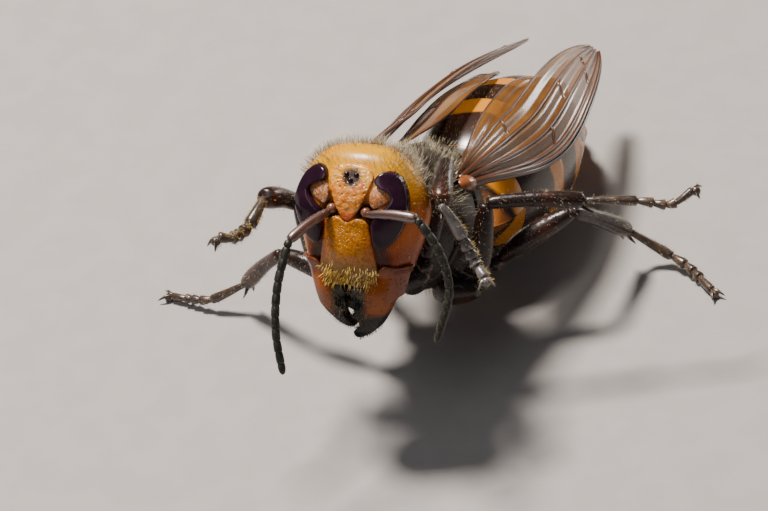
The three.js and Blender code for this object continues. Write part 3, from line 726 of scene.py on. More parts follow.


# Head: a ringed barrel drawn in at crown and mouth, with the face worked up

head = {
    'sides': 96,
    'rings': 60,
    # height, half width, reach to the back, reach to the front
    'rows': (
        (4.6, 0.02, 0.02, 0.02),
        (4.35, 1.9, 1.2, 1.0),
        (3.5, 3.15, 2.0, 1.75),
        (2.2, 4.0, 2.4, 2.35),
        (0.8, 4.3, 2.5, 2.6),
        (-0.7, 4.08, 2.3, 2.65),
        (-2.0, 3.75, 1.8, 2.5),
        (-3.1, 3.3, 1.1, 2.15),
        (-3.8, 2.4, 0.4, 1.5),
        (-4.0, 0.02, 0.02, 0.02),
    ),
    'squareness': 0.2,
    # place, move and reach of each pull that models the face
    'middlePulls': (
        ((0, -2.6, 1.0), (0, -0.12, 0.0), 0.75),
    ),
    'pairPulls': (
        ((1.25, -2.6, 0.85), (0, 0.75, 0), 0.95),
        ((1.2, -2.5, 1.6), (0, 0.25, 0), 0.6),
        ((1.15, -2.4, -0.2), (0, 0.15, 0), 0.8),
        ((4.1, 0.8, 0.2), (0.10, 0.1, 0), 2.2),
        ((2.9, -1.9, -2.5), (0.05, -0.12, 0), 1.0),
        ((1.6, -2.4, -3.2), (0, 0.25, 0), 0.9),
    ),
    'inlayReach': (-6, -0.5),  # where along y a plate's outline starts and ends before it is cut
    'base': ((0.42, 0.085, 0.002), 0.3, 7.0, 0.35, 0.02),
    'coats': (
        ('byHeight', (0.8, 3.4), (0.58, 0.275, 0.0), 1),
        ('noise', (0.9, 4, 0.4, 0.7), (0.50, 0.15, 0.0), 0.4),
        ('noise', (7, 3, 0.45, 0.7), (0.40, 0.11, 0.0), 0.35),
        # painted shade: the lower head darkens towards the mouth
        ('byHeight', (-0.2, -2.0), (0.20, 0.030, 0.003), 0.9),
    ),
    # dark spots on both sides: place, inner and outer distance, stretch, colour, amount
    'pairSpots': (
        # painted shade in the grooves beside the frons shield
        ((1.2, -2.6, 1.5), 0.15, 0.6, (0.6, 1, 1.4), (0.06, 0.012, 0.004), 0.9),
        # painted shade in the hollows round the antenna sockets
        ((1.2, -2.4, 0.8), 0.5, 0.95, (1, 1, 1), (0.02, 0.006, 0.004), 0.97),
        ((1.9, -2.4, -2.3), 0.7, 1.5, (0.8, 1, 1.2), (0.030, 0.006, 0.003), 0.9),
    ),
    'gloss': {'Specular_IOR_Level': 0.22, 'Coat_Weight': 0.06, 'Coat_Roughness': 0.08},
}


def ringedBarrel(look):
    bpy.ops.object.select_all(action='DESELECT')
    bpy.ops.mesh.primitive_cylinder_add(
        vertices=look['sides'],
        radius=1,
        depth=2,
        end_fill_type='NOTHING',
    )
    piece = bpy.context.object
    bpy.ops.object.mode_set(mode='EDIT')
    bpy.ops.mesh.select_all(action='DESELECT')
    mesh = bmesh.from_edit_mesh(piece.data)
    for edge in mesh.edges:
        edge.select = abs(edge.verts[0].co.z - edge.verts[1].co.z) > 1
    mesh.select_flush(True)
    bmesh.update_edit_mesh(piece.data)
    bpy.ops.mesh.subdivide(number_cuts=look['rings'] - 1)
    bpy.ops.object.mode_set(mode='OBJECT')
    if 'squareness' in look:
        applyModifier(piece, 'CAST', cast_type='CUBOID', factor=look['squareness'], use_z=False)
    places = list(range(len(look['rows'])))
    columns = list(zip(*look['rows']))
    bpy.ops.object.mode_set(mode='EDIT')
    mesh = bmesh.from_edit_mesh(piece.data)
    rings = {}
    for vert in mesh.verts:
        rings.setdefault(round((1 - vert.co.z) / 2 * look['rings']), []).append(vert.index)
    for ring, members in sorted(rings.items()):
        at = ring / look['rings'] * (len(places) - 1)
        height, half, behind, front = (smoothTable(places, column, at) for column in columns)
        mesh = bmesh.from_edit_mesh(piece.data)
        mesh.verts.ensure_lookup_table()
        ahead = {index for index in members if mesh.verts[index].co.y < 0}
        for chosen, reach in ((ahead, front), (set(members) - ahead, behind)):
            bpy.ops.mesh.select_all(action='DESELECT')
            for index in chosen:
                mesh.verts[index].select = True
            bmesh.update_edit_mesh(piece.data)
            bpy.ops.transform.resize(value=(half, reach, 1), center_override=(0, 0, 0))
        bpy.ops.mesh.select_all(action='DESELECT')
        for index in members:
            mesh.verts[index].select = True
        bmesh.update_edit_mesh(piece.data)
        bpy.ops.transform.translate(value=(0, 0, height - mesh.verts[members[0]].co.z))
    for height in (look['rows'][0][0], look['rows'][-1][0]):
        bpy.ops.mesh.select_all(action='DESELECT')
        mesh = bmesh.from_edit_mesh(piece.data)
        for vert in mesh.verts:
            vert.select = abs(vert.co.z - height) < 1e-3
        bmesh.update_edit_mesh(piece.data)
        bpy.ops.mesh.merge(type='CENTER')
    bpy.ops.mesh.select_all(action='SELECT')
    bpy.ops.mesh.normals_make_consistent(inside=False)
    bpy.ops.object.mode_set(mode='OBJECT')
    return piece


def slab(outline, front, back):
    # a filled outline, drawn looking at the face, pushed out along y
    traced = smoothPath([(x, z, 0) for x, z in (*outline, outline[0])], 6)[:-1]
    clearSelection()
    bpy.ops.curve.primitive_bezier_curve_add()
    piece = bpy.context.object
    curve = piece.data
    curve.dimensions = '2D'
    curve.fill_mode = 'BOTH'
    curve.splines.clear()
    spline = curve.splines.new('POLY')
    spline.points.add(len(traced) - 1)
    for point, spot in zip(spline.points, traced):
        point.co = (spot.x, spot.y, 0, 1)
    spline.use_cyclic_u = True
    curve.extrude = (back - front) / 2
    piece.rotation_euler = (math.radians(90), 0, 0)
    piece.location = (0, (front + back) / 2, 0)
    bpy.ops.object.convert(target='MESH')
    applyTransform()
    weld(0.001)
    return bpy.context.object


def swollenRows(rows, grow):
    # a barrel's rows, moved outwards all round
    top, bottom = rows[0][0], rows[-1][0]
    middle, stretch = (top + bottom) / 2, 1 + 2 * grow / (top - bottom)
    swollen = []
    for height, *reaches in rows:
        grown = (reach + grow if reach > 0.1 else reach for reach in reaches)
        swollen.append((middle + (height - middle) * stretch, *grown))
    return swollen


def faceInlay(outline, rows, rise, depth, voxel, passes):
    # a plate that follows the face: the outline cut from a shell round the face's rows
    piece = slab(outline, *head['inlayReach'])
    for grow, operation in ((rise, 'INTERSECT'), (-depth, 'DIFFERENCE')):
        barrel = ringedBarrel({**head, 'rows': swollenRows(rows, grow)})
        applyModifier(piece, 'BOOLEAN', operation=operation, object=barrel, solver='EXACT')
        bpy.data.objects.remove(barrel)
    applyModifier(piece, 'REMESH', mode='VOXEL', voxel_size=voxel)
    applyModifier(piece, 'SMOOTH', factor=0.5, iterations=passes)
    return piece


def mirrored(half):
    return (*half, *((-x, z) for x, z in reversed(half) if x))


def makeHead():
    piece = ringedBarrel(head)
    applyModifier(piece, 'SUBSURF', levels=1, render_levels=1)
    pullAll(piece, head['middlePulls'])
    for each in head['pairPulls']:
        for mirror in (1, -1):
            pullAll(piece, (each,), mirror)
    applyModifier(piece, 'SMOOTH', factor=0.5, iterations=2)
    paint = layered('headShell', head, headFrame)
    for mirror in (1, -1):
        for (x, y, z), inner, outer, stretch, color, amount in head['pairSpots']:
            paint.coat(paint.near((x * mirror, y, z), inner, outer, stretch), color, amount)
    finishPiece(piece, 'head_shell', headFrame, paint.done(**head['gloss']), ['head'])
    return piece


frons = {
    # half of the outline, looking at the face: place off the middle, and height
    'outline': ((0, 3.8), (0.9, 3.7), (1.45, 3.2), (1.26, 2.35), (0.87, 1.43), (0.5, 0.8), (0, 0.42)),
    'inlay': {'rise': 0.17, 'depth': 0.5, 'voxel': 0.06, 'passes': 14},
    'pulls': (((0, -2.6, 2.0), (0, -0.12, 0), 1.4),),
    'base': ((0.62, 0.17, 0.006), 0.22, 2.6, 1.2, 0.2),
    'coats': (
        ('byHeight', (2.0, 3.6), (0.72, 0.32, 0.010), 1),
        ('noise', (3.4, 5, 0.42, 0.62), (0.74, 0.38, 0.10), 0.6),
        ('noise', (2.1, 4, 0.48, 0.64), (0.46, 0.09, 0.0), 0.8),
        ('byHeight', (1.3, 0.6), (0.42, 0.045, 0.0), 0.9),
        ('near', ((0.08, -2.2, 3.1), 0.4, 0.85), (0.02, 0.006, 0.004), 0.95),
    ),
    'wrinkles': {'scale': 2.6, 'height': 0.22},
    'gloss': {'Specular_IOR_Level': 0.45, 'Coat_Weight': 0.3, 'Coat_Roughness': 0.08},
}


def makeFrons():
    # the shield between the eyes
    piece = faceInlay(mirrored(frons['outline']), head['rows'], **frons['inlay'])
    pullAll(piece, frons['pulls'])
    paint = layered('fronsShell', frons, headFrame)
    paint.crumple(**frons['wrinkles'])
    finishPiece(piece, 'frons_shield', headFrame, paint.done(**frons['gloss']))


sinus = {
    'outline': (
        (1.36, 2.15), (1.5, 2.53), (1.96, 2.7), (2.5, 2.66), (2.9, 2.35),
        (2.8, 1.95), (2.3, 1.55), (1.6, 1.3), (1.4, 1.65),
    ),
    'inlay': {'rise': 0.12, 'depth': 0.5, 'voxel': 0.06, 'passes': 10},
    'pulls': (((2.0, -2.4, 2.1), (0.03, -0.10, 0), 0.8),),
    'base': ((0.36, 0.10, 0.015), 0.3, 8, 1.4, 0.16),
    'coats': (
        ('noise', (7, 3, 0.45, 0.6), (0.50, 0.36, 0.27), 0.7),
        ('noise', (1.2, 3, 0.45, 0.7), (0.55, 0.16, 0.015), 0.6),
    ),
    'gloss': {'Coat_Weight': 0.3, 'Coat_Roughness': 0.2},
}


def makeSinuses():
    # the grainy patches in the notches of the eyes
    finish = shellFinish('sinusShell', sinus, headFrame)
    for name, mirror in sides:
        outline = [(x * mirror, z) for x, z in sinus['outline']]
        patch = faceInlay(outline, head['rows'], **sinus['inlay'])
        pullAll(patch, sinus['pulls'], mirror)
        finishPiece(patch, f'sinus_{name}_patch', headFrame, finish)


eye = {
    'voxel': 0.07,
    'passes': 22,
    'pulls': (((3.0, -2.3, 1.2), (0.14, -0.2, 0), 2.4),),
    'ocelli': ((0.08, -2.33, 2.92), (0.40, -2.14, 3.24), (-0.24, -2.14, 3.24)),
    'ocellusRadius': 0.17,
    'base': ((0.013, 0.004, 0.010), 0.17, 30, 0.2, 0.004),
    'coats': (('noise', (0.8, 3, 0.4, 0.7), (0.035, 0.008, 0.022), 0.6),),
    'gloss': {'Specular_IOR_Level': 0.22, 'Coat_Weight': 0.08, 'Coat_Roughness': 0.04},
}


def makeEyes():
    finish = shellFinish('eyeGloss', eye, headFrame)
    for name, mirror in sides:
        piece = copyNode(f'eye_{name}', headFrame, eye['voxel'], eye['passes'])
        pullAll(piece, eye['pulls'], mirror)
        finishPiece(piece, f'eye_{name}_lens', headFrame, finish, [f'eye_{name}'])
    beads = [ball(eye['ocellusRadius'], spot, 24, 16) for spot in eye['ocelli']]
    finishPiece(joinPieces(beads), 'ocelli', headFrame, finish)


socket = {
    'place': (1.14, -2.38, 1.0),
    'radius': 0.34,
    'base': ((0.16, 0.06, 0.03), 0.25, 6, 0.5, 0.02),
    'coats': (),
    'gloss': {'Coat_Weight': 0.4, 'Coat_Roughness': 0.1},
}


def makeSockets():
    # the pale knobs that the antennae turn in
    finish = shellFinish('socketShell', socket, headFrame)
    x, y, z = socket['place']
    knobs = [ball(socket['radius'], (x * mirror, y, z), 28, 18) for mirror in (1, -1)]
    finishPiece(joinPieces(knobs), 'antenna_sockets', headFrame, finish)


face = {
    # the lip of the face hangs lower and stands further out than the head behind it
    'rows': (
        (4.6, 0.02, 0.02, 0.02),
        (3.5, 3.15, 2.0, 1.75),
        (2.2, 4.0, 2.4, 2.35),
        (0.8, 4.3, 2.5, 2.6),
        (-0.7, 4.08, 2.3, 2.68),
        (-2.0, 3.75, 1.8, 2.62),
        (-3.1, 3.45, 1.5, 2.45),
        (-4.0, 3.2, 1.4, 2.15),
        (-4.6, 0.02, 0.02, 0.02),
    ),
    'clypeus': (
        (0, 0.3), (0.68, 0.6), (1.28, 0.42), (1.53, -0.24), (1.68, -1.2), (1.85, -2.2),
        (1.92, -3.0), (1.74, -3.55), (1.2, -3.85), (0.5, -3.9), (0, -3.75),
    ),
    'inlay': {'rise': 0.16, 'depth': 0.7, 'voxel': 0.06, 'passes': 10},
    'pulls': (((0, -2.9, -1.6), (0, -0.22, 0), 2.0),),
    'base': ((0.44, 0.150, 0.0), 0.27, 6.5, 2.2, 0.34),
    'coats': (
        ('byFlank', (0.9, 1.6), (0.34, 0.075, 0.003), 0.8),
        # painted shade: darker down in the pits
        ('byPit', (1.3, 0.7), (0.20, 0.05, 0.003), 0.6),
        ('byHeight', (-1.8, -2.8), (0.17, 0.09, 0.002), 0.9),
        ('noise', (2.2, 5, 0.45, 0.7), (0.34, 0.095, 0.003), 0.4),
        ('noise', (6.5, 3, 0.46, 0.6), (0.19, 0.052, 0.0), 0.6),
    ),
    'gloss': {'Specular_IOR_Level': 0.45, 'Coat_Weight': 0.15, 'Coat_Roughness': 0.1},
}


def makeClypeus():
    piece = faceInlay(mirrored(face['clypeus']), face['rows'], **face['inlay'])
    pullAll(piece, face['pulls'])
    finish = shellFinish('clypeusShell', face, headFrame)
    finishPiece(piece, 'clypeus_plate', headFrame, finish, ['clypeus'])
    return piece


mandible = {
    'rows': (
        (-1.9, 0.02, 0.02, 0.02),
        (-2.1, 3.68, 1.9, 2.55),
        (-3.2, 3.48, 1.5, 2.55),
        (-4.4, 3.15, 1.2, 2.5),
        (-5.4, 2.8, 1.0, 2.42),
        (-6.2, 2.4, 0.8, 2.35),
        (-6.9, 2.0, 0.6, 2.25),
        (-7.6, 1.4, 0.4, 2.15),
        (-7.9, 0.02, 0.02, 0.02),
    ),
    # half width and height, each on its own side; the tips cross the middle
    'left': (
        (-0.10, -4.3), (0.35, -3.92), (1.08, -3.72), (1.55, -3.2), (2.02, -2.62), (2.5, -2.4),
        (3.1, -2.5), (4.0, -2.75), (4.0, -4.0), (2.66, -4.85), (2.2, -5.75), (1.92, -6.27),
        (1.6, -6.76), (1.22, -7.08), (0.66, -7.28), (0.46, -7.24), (0.27, -6.95), (0.64, -6.5),
        (0.55, -6.12), (0.18, -5.95), (0.38, -5.5), (0.02, -5.28), (0.12, -4.8),
    ),
    'right': (
        (0.34, -4.3), (0.5, -3.95), (1.0, -3.72), (1.55, -3.2), (2.0, -2.62), (2.5, -2.4), (3.1, -2.5),
        (4.0, -2.75), (4.0, -4.0), (2.7, -4.8), (1.9, -5.66), (1.13, -6.14), (0.5, -6.46), (-0.1, -6.6),
        (-0.38, -6.5), (-0.16, -6.3), (0.2, -5.95), (0.34, -5.6), (0.14, -5.45), (0.3, -4.8),
    ),
    'inlay': {'rise': 0.0, 'depth': 0.85, 'voxel': 0.05, 'passes': 7},
    'pulls': (
        ((1.9, -2.5, -4.4), (0, -0.2, 0), 1.3),
        ((0.3, -2.4, -4.6), (0, 0.25, 0), 0.9),
    ),
    'base': ((0.24, 0.055, 0.0015), 0.27, 3.0, 1.0, 0.12),
    'coats': (
        ('noise', (1.2, 4, 0.45, 0.7), (0.15, 0.026, 0.002), 0.6),
        # painted shade on the outer flanks of the blades
        ('byFlank', (2.2, 3.1), (0.13, 0.018, 0.003), 0.85),
        ('byHeight', (-3.2, -2.6), (0.10, 0.018, 0.004), 0.8),
    ),
    # black along the biting edges and at the tips
    'edge': (1.35, 0.85),
    'tip': (-5.5, -6.05),
    'black': (0.008, 0.006, 0.006),
    'gloss': {'Specular_IOR_Level': 0.3, 'Coat_Weight': 0.1, 'Coat_Roughness': 0.08},
}


def makeMandibles():
    paint = layered('mandibleShell', mandible, headFrame)
    dark = paint.math('MAXIMUM', paint.byFlank(*mandible['edge']), paint.byHeight(*mandible['tip']))
    paint.coat(dark, mandible['black'])
    finish = paint.done(**mandible['gloss'])
    pieces = []
    for name, mirror in sides:
        outline = [(x * mirror, z) for x, z in mandible[name]]
        piece = faceInlay(outline, mandible['rows'], **mandible['inlay'])
        pullAll(piece, mandible['pulls'], mirror)
        blade = f'mandible_{name}'
        finishPiece(piece, blade + '_blade', headFrame, finish, [blade])
        pieces.append(piece)
    return pieces


mouth = {
    'place': (0, -1.35, -4.2),
    'size': (1.5, 0.6, 0.9),
    'pulls': (((0, -1.4, -5.0), (0, 0.1, -0.4), 0.9),),
    'base': ((0.014, 0.006, 0.005), 0.4, 5, 0.8, 0.04),
    'coats': (),
    'gloss': {},
}


def makeMouth():
    # the dark lip and folded tongue that fill the space behind the blades
    piece = ball(1, (0, 0, 0), 32, 20)
    bpy.ops.object.mode_set(mode='EDIT')
    bpy.ops.transform.resize(value=mouth['size'])
    bpy.ops.transform.translate(value=mouth['place'])
    bpy.ops.object.mode_set(mode='OBJECT')
    pullAll(piece, mouth['pulls'])
    finishPiece(piece, 'mouth_lip', headFrame, shellFinish('lipShell', mouth, headFrame))


headPiece = makeHead()
makeFrons()
makeSinuses()
makeEyes()
makeSockets()
clypeusPiece = makeClypeus()
mandiblePieces = makeMandibles()
makeMouth()
print('head is in place')


# Antennae

antenna = {
    'socket': (1.2, -2.55, 0.9),
    'left': ((5.0, -9.1, 17.8), (6.5, -9.7, 15.9), (7.2, -10.5, 13.7), (6.6, -12.1, 10.7)),
    'right': ((-2.3, -12.3, 17.25), (-2.6, -14.1, 15.1), (-2.45, -15.6, 12.75), (-1.85, -16.7, 10.2)),
    'scapeRadii': ((0, 0.17), (0.12, 0.26), (0.5, 0.30), (0.9, 0.34), (1, 0.27)),
    'flagellumRadius': 0.29,
    'rings': 11,
    'elbow': 0.45,
    'sag': 0.15,
    # distance along the whip and radius there, up to the elbow
    'root': ((0.0, 0.05), (0.02, 0.2), (0.15, 0.25), (0.33, 0.27), (0.42, 0.2), (0.45, 0.17)),
    'taper': 0.04,
    # each ring's outline, and the last one's: part of its length and of its radius
    'ring': ((0.02, 0.80), (0.1, 0.93), (0.4, 0.99), (0.8, 1.0), (0.93, 0.95), (0.99, 0.80)),
    'lastRing': (
        (0.02, 0.8), (0.1, 0.93), (0.4, 0.95), (0.7, 0.8), (0.88, 0.55), (0.97, 0.3), (1.0, 0.08),
    ),
    'hairShares': (0.2, 0.3),
    'scape': {
        'base': ((0.045, 0.013, 0.008), 0.36, 6, 0.3, 0.01),
        'coats': (('noise', (0.8, 3, 0.4, 0.65), (0.09, 0.024, 0.012), 0.7),),
        'gloss': {'Specular_IOR_Level': 0.9, 'Coat_Weight': 1.0, 'Coat_Roughness': 0.3},
    },
    'whip': {
        'base': ((0.008, 0.0085, 0.006), 0.45, 14, 0.6, 0.01),
        'coats': (('noise', (1.5, 3), (0.022, 0.021, 0.013), 0.6),),
        'gloss': {'Specular_IOR_Level': 0.35},
    },
}


def whipProfile(length):
    profile = list(antenna['root'])
    step = (length - antenna['elbow']) / antenna['rings']
    for ring in range(antenna['rings']):
        start = antenna['elbow'] + step * ring
        thick = antenna['flagellumRadius'] - antenna['taper'] * ring / antenna['rings']
        shape = antenna['lastRing' if ring == antenna['rings'] - 1 else 'ring']
        profile += [(start + step * part, thick * size) for part, size in shape]
    return profile


def makeAntennae():
    scapeFinish = shellFinish('scapeShell', antenna['scape'])
    whipFinish = shellFinish('flagellumShell', antenna['whip'])
    x, y, z = antenna['socket']
    grown = []
    for name, mirror in sides:
        base = headFrame @ Vector((x * mirror, y, z))
        elbow, *rest = (Vector(point) for point in antenna[name])
        sag = base.lerp(elbow, 0.5) + Vector((0, 0, antenna['sag']))
        route = Route((base, sag, elbow))
        stem = tube(route, roundedProfile(route.length, antenna['scapeRadii'], 30), 8)
        scape = f'scape_{name}'
        finishPiece(stem, scape + '_stem', groundFrame, scapeFinish, [scape])
        route = Route((elbow, *rest))
        whip = tube(route, whipProfile(route.length), 7)
        flagellum = f'flagellum_{name}'
        finishPiece(whip, flagellum + '_whip', groundFrame, whipFinish, [flagellum])
        grown += zip((stem, whip), antenna['hairShares'])
    return grown


antennaSkins = makeAntennae()
print('antennae are in place')


# Thorax: three plates over a dark core, all under short hair

thoraxLook = {
    'sides': 48,
    'rings': 40,
    'rows': (
        (6.5, 0.02, 0.02, 0.02),
        (6.3, 1.05, 1.35, 1.15),
        (5.3, 2.7, 2.9, 2.5),
        (3.8, 3.95, 3.9, 3.7),
        (1.9, 4.4, 4.3, 4.4),
        (-0.2, 4.4, 4.4, 4.6),
        (-2.2, 4.1, 4.2, 4.4),
        (-3.9, 3.4, 3.6, 3.5),
        (-5.2, 2.4, 2.8, 1.9),
        (-6.0, 1.3, 2.0, 0.3),
        (-6.3, 0.02, 0.02, 0.02),
    ),
    # each plate and its share of the hair
    'plates': (('prothorax', 0.3), ('mesothorax', 0.5), ('propodeum', 0.2)),
    'plateSkin': (0.13, 8),  # voxel size and smoothing passes
    'capSkin': (0.06, 12),
    'shell': {
        'base': ((0.012, 0.007, 0.005), 0.42, 3.4, 1.2, 0.06),
        'coats': (('noise', (0.7, 4, 0.5, 0.75), (0.035, 0.012, 0.006), 0.6),),
        'gloss': {'Specular_IOR_Level': 0.3, 'Coat_Weight': 0.05, 'Coat_Roughness': 0.3},
    },
    'cap': {
        'base': ((0.22, 0.06, 0.015), 0.3, 5, 0.5, 0.02),
        'coats': (),
        'gloss': {'Coat_Weight': 0.4, 'Coat_Roughness': 0.15},
    },
}


def makeThorax():
    finish = shellFinish('thoraxShell', thoraxLook['shell'], thoraxFrame)
    skins = []
    for node, share in thoraxLook['plates']:
        piece = copyNode(node, thoraxFrame, *thoraxLook['plateSkin'])
        finishPiece(piece, node + '_plate', thoraxFrame, finish, [node])
        skins.append((piece, share))
    core = ringedBarrel(thoraxLook)
    lying = thoraxFrame @ Matrix.Rotation(math.radians(90), 4, 'X')  # the barrel's top end is the front
    finishPiece(core, 'thorax_core', lying, finish)
    capFinish = shellFinish('tegulaShell', thoraxLook['cap'], thoraxFrame)
    for name, mirror in sides:
        tegula = f'tegula_{name}'
        cap = copyNode(tegula, thoraxFrame, *thoraxLook['capSkin'])
        finishPiece(cap, tegula + '_cap', thoraxFrame, capFinish, [tegula])
    return skins


thoraxSkins = makeThorax()
print('thorax is in place')


# Gaster: overlapping rings, each ending in an orange band

gaster = {
    'axis': (
        (0, 5.15, 6.1), (0, 8.6, 5.95), (0, 12.6, 5.45), (0, 17.0, 4.6), (0, 21.2, 3.4), (0, 25.1, 2.05),
    ),
    'stations': (0, 0.7, 1.4, 2.3, 3.5, 5.5, 8.1, 10.5, 12.9, 15.2, 17.3, 19.0, 19.9, 20.2),
    'radii': (0.55, 0.6, 1.5, 3.0, 4.25, 4.95, 5.25, 5.2, 4.85, 4.1, 3.0, 1.7, 0.75, 0.3),
    'ends': (3.5, 8.1, 12.0, 15.2, 17.8, 20.2),
    'bands': (1.3, 1.5, 1.2, 1.1, 0.9, 9.0),  # how wide the orange is at each ring's rear
    'overlap': 0.5,  # how far each ring starts inside the one before
    'stretches': 22,
    'step': 0.14,
    'flatten': 0.985,
    # how a ring ends: distance past its rear and radius off its edge
    'rim': ((0.04, 0.03), (0.05, 0.1), (-0.1, 0.2), (-0.5, 1.2)),
    # how the first ring starts and the last one ends: distance and radius
    'stalk': ((0, 0.1), (0.02, 0.5)),
    'tip': ((0.05, 0.15), (0.08, 0.02)),
    'band': (0.58, 0.21, 0.012),
    'bandBlur': 0.3,
    'wave': (0.45, 2, 0.3, 0.7),
    'waveSize': 0.35,
    # the first ring's rusty front
    'rust': {'reach': 1.6, 'blur': 0.5, 'color': (0.35, 0.11, 0.02), 'amount': 0.7},
    'base': ((0.025, 0.009, 0.005), 0.27, 5, 0.5, 0.02),
    'coats': (('noise', (0.5, 4, 0.45, 0.75), (0.06, 0.018, 0.007), 0.7),),
    'gloss': {'Coat_Weight': 0.35, 'Coat_Roughness': 0.18},
    'edgeAngle': 50,
}


def gasterFinish(index, route, start, end):
    middle = route.at((start + end) / 2)
    along = route.heading((start + end) / 2)
    paint = layered(f'gasterShell{index + 1}', gaster)
    dot = addNode(paint.tree, 'ShaderNodeVectorMath', {1: along}, operation='DOT_PRODUCT')
    paint.link(paint.vector, dot.inputs[0])
    wavy = paint.math('MULTIPLY', paint.noise(*gaster['wave']), gaster['waveSize'])
    reached = paint.math('ADD', dot.outputs['Value'], wavy)
    rear = middle.dot(along) + (end - start) / 2
    edge = rear - gaster['bands'][index]
    paint.coat(paint.ramp(reached, edge, edge + gaster['bandBlur']), gaster['band'])
    if index == 0:
        rust = gaster['rust']
        front = middle.dot(along) - (end - start) / 2 + rust['reach']
        paint.coat(paint.ramp(reached, front + rust['blur'], front), rust['color'], rust['amount'])
    return paint.done(**gaster['gloss'])


def gasterProfile(index, start, end):
    front = start - gaster['overlap'] if index else 0.0
    profile = [] if index else list(gaster['stalk'])
    for step in range(gaster['stretches'] + 1):
        reached = front + (end - front) * (step / gaster['stretches'])
        part = max(0, (reached - start) / (end - start))
        radius = smoothTable(gaster['stations'], gaster['radii'], reached)
        profile.append((reached, radius * gaster['flatten'] + gaster['step'] * (part - 0.6)))
    edge = profile[-1][1]
    if index:
        profile.insert(0, (front, edge * 0.2))
    if index == len(gaster['ends']) - 1:
        return profile + [(end + past, radius) for past, radius in gaster['tip']]
    return profile + [(end + past, edge - drop) for past, drop in gaster['rim']]


def makeGaster():
    route = Route(gaster['axis'])
    skins = []
    start = 0.0
    for index, end in enumerate(gaster['ends']):
        piece = tube(route, gasterProfile(index, start, end), 22)
        flattenBelly(piece)
        finish = gasterFinish(index, route, start, end)
        node = f'gaster_{index + 1}'
        finishPiece(piece, node + '_shell', groundFrame, finish, [node], gaster['edgeAngle'])
        skins.append((piece, (end - start) / gaster['stations'][-1]))
        start = end
    return skins


def flattenBelly(piece):
    # what would pass through the floor is laid flat on it
    makeActive(piece)
    bpy.ops.object.mode_set(mode='EDIT')
    bpy.ops.mesh.select_all(action='DESELECT')
    mesh = bmesh.from_edit_mesh(piece.data)
    below = [vert for vert in mesh.verts if vert.co.z < floorGap]
    for vert in below:
        vert.select = True
    bmesh.update_edit_mesh(piece.data)
    if below:
        bpy.ops.transform.resize(value=(1, 1, 0), center_override=(0, 0, floorGap))
    bpy.ops.object.mode_set(mode='OBJECT')


gasterSkins = makeGaster()
print('gaster is in place')


# Wings: a thin ribbed film with raised veins, folded along the back

wings = {
    'forewing': {
        # place along the body, height of the centre line, reach from it, outer and inner angle
        'rows': (
            (0.6, 10.5, 4.75, 55, 43),
            (3.0, 9.6, 5.5, 61, 38),
            (7.5, 7.3, 6.4, 65, 28),
            (12.0, 5.75, 6.9, 65, 25),
            (17.0, 4.95, 6.5, 62, 22),
            (22.0, 4.1, 5.55, 57, 21),
            (25.4, 3.4, 4.75, 50, 24),
            (26.8, 3.1, 4.5, 42, 31),
        ),
        'veins': (0.0, 0.07, 0.16, 0.42, 0.7, 1.0),
        'veinRadius': 0.13,
        # place along the wing, and where across it the vein starts and ends
        'crossVeins': (
            (0.40, 0.16, 0.42), (0.55, 0.42, 0.70), (0.30, 0.70, 1.0),
            (0.68, 0.16, 0.42), (0.75, 0.42, 0.70),
        ),
    },
    'hindwing': {
        'rows': (
            (2.3, 9.9, 4.5, 50, 38),
            (5.0, 8.5, 4.8, 56, 26),
            (9.0, 6.7, 5.5, 56, 13),
            (13.0, 5.65, 5.92, 55, 9),
            (17.0, 4.85, 5.6, 50, 10),
            (20.0, 4.1, 4.75, 42, 22),
            (20.8, 4.0, 4.6, 36, 30),
        ),
        'veins': (0.0, 0.3, 0.65, 1.0),
        'veinRadius': 0.09,
        'crossVeins': ((0.45, 0.3, 0.65), (0.62, 0.0, 0.3)),
    },
    'filmThickness': 0.07,
    'pleat': 0.10,
    'pleats': 7,
    'across': 30,
    'along': 90,
    'filmLift': -0.05,
    'veinLift': 0.02,
    'veinSteps': 40,
    'crossSteps': 6,
    'crossSlant': 0.03,
    'crossThickness': 0.7,
    'film': {
        'base': ((0.16, 0.060, 0.010), 0.25, 9, 0.3, 0.01),
        'coats': (('noise', (0.35, 3, 0.35, 0.7), (0.30, 0.13, 0.025), 0.7),),
        'gloss': {'Alpha': 0.6, 'Coat_Weight': 0.5, 'Coat_Roughness': 0.12},
    },
    'vein': {
        'base': ((0.07, 0.022, 0.008), 0.3, 8, 0.3, 0.01),
        'coats': (),
        'gloss': {'Coat_Weight': 0.3, 'Coat_Roughness': 0.15},
    },
}


def wingSpot(rows, mirror, along, across, lift=0.0):
    places = list(range(len(rows)))
    reached = along * (len(rows) - 1)
    y, centre, reach, outer, inner = (smoothTable(places, column, reached) for column in zip(*rows))
    angle = math.radians(outer + (inner - outer) * across)
    spread = math.sin(min(1, along * 3) * math.pi / 2)
    pleat = wings['pleat'] * math.sin(across * math.pi * wings['pleats']) * spread
    radius = reach + lift + pleat
    return Vector((mirror * radius * math.sin(angle), y, centre + radius * math.cos(angle)))


def makeFilm(rows, mirror):
    bpy.ops.object.select_all(action='DESELECT')
    bpy.ops.mesh.primitive_grid_add(
        x_subdivisions=wings['across'],
        y_subdivisions=wings['along'],
        size=1,
    )
    sheet = bpy.context.object
    for vert in sheet.data.vertices:
        along, across = vert.co.y + 0.5, vert.co.x + 0.5
        vert.co = wingSpot(rows, mirror, along, across, wings['filmLift'])
    applyModifier(sheet, 'SOLIDIFY', thickness=wings['filmThickness'], offset=0)
    weld()
    return sheet


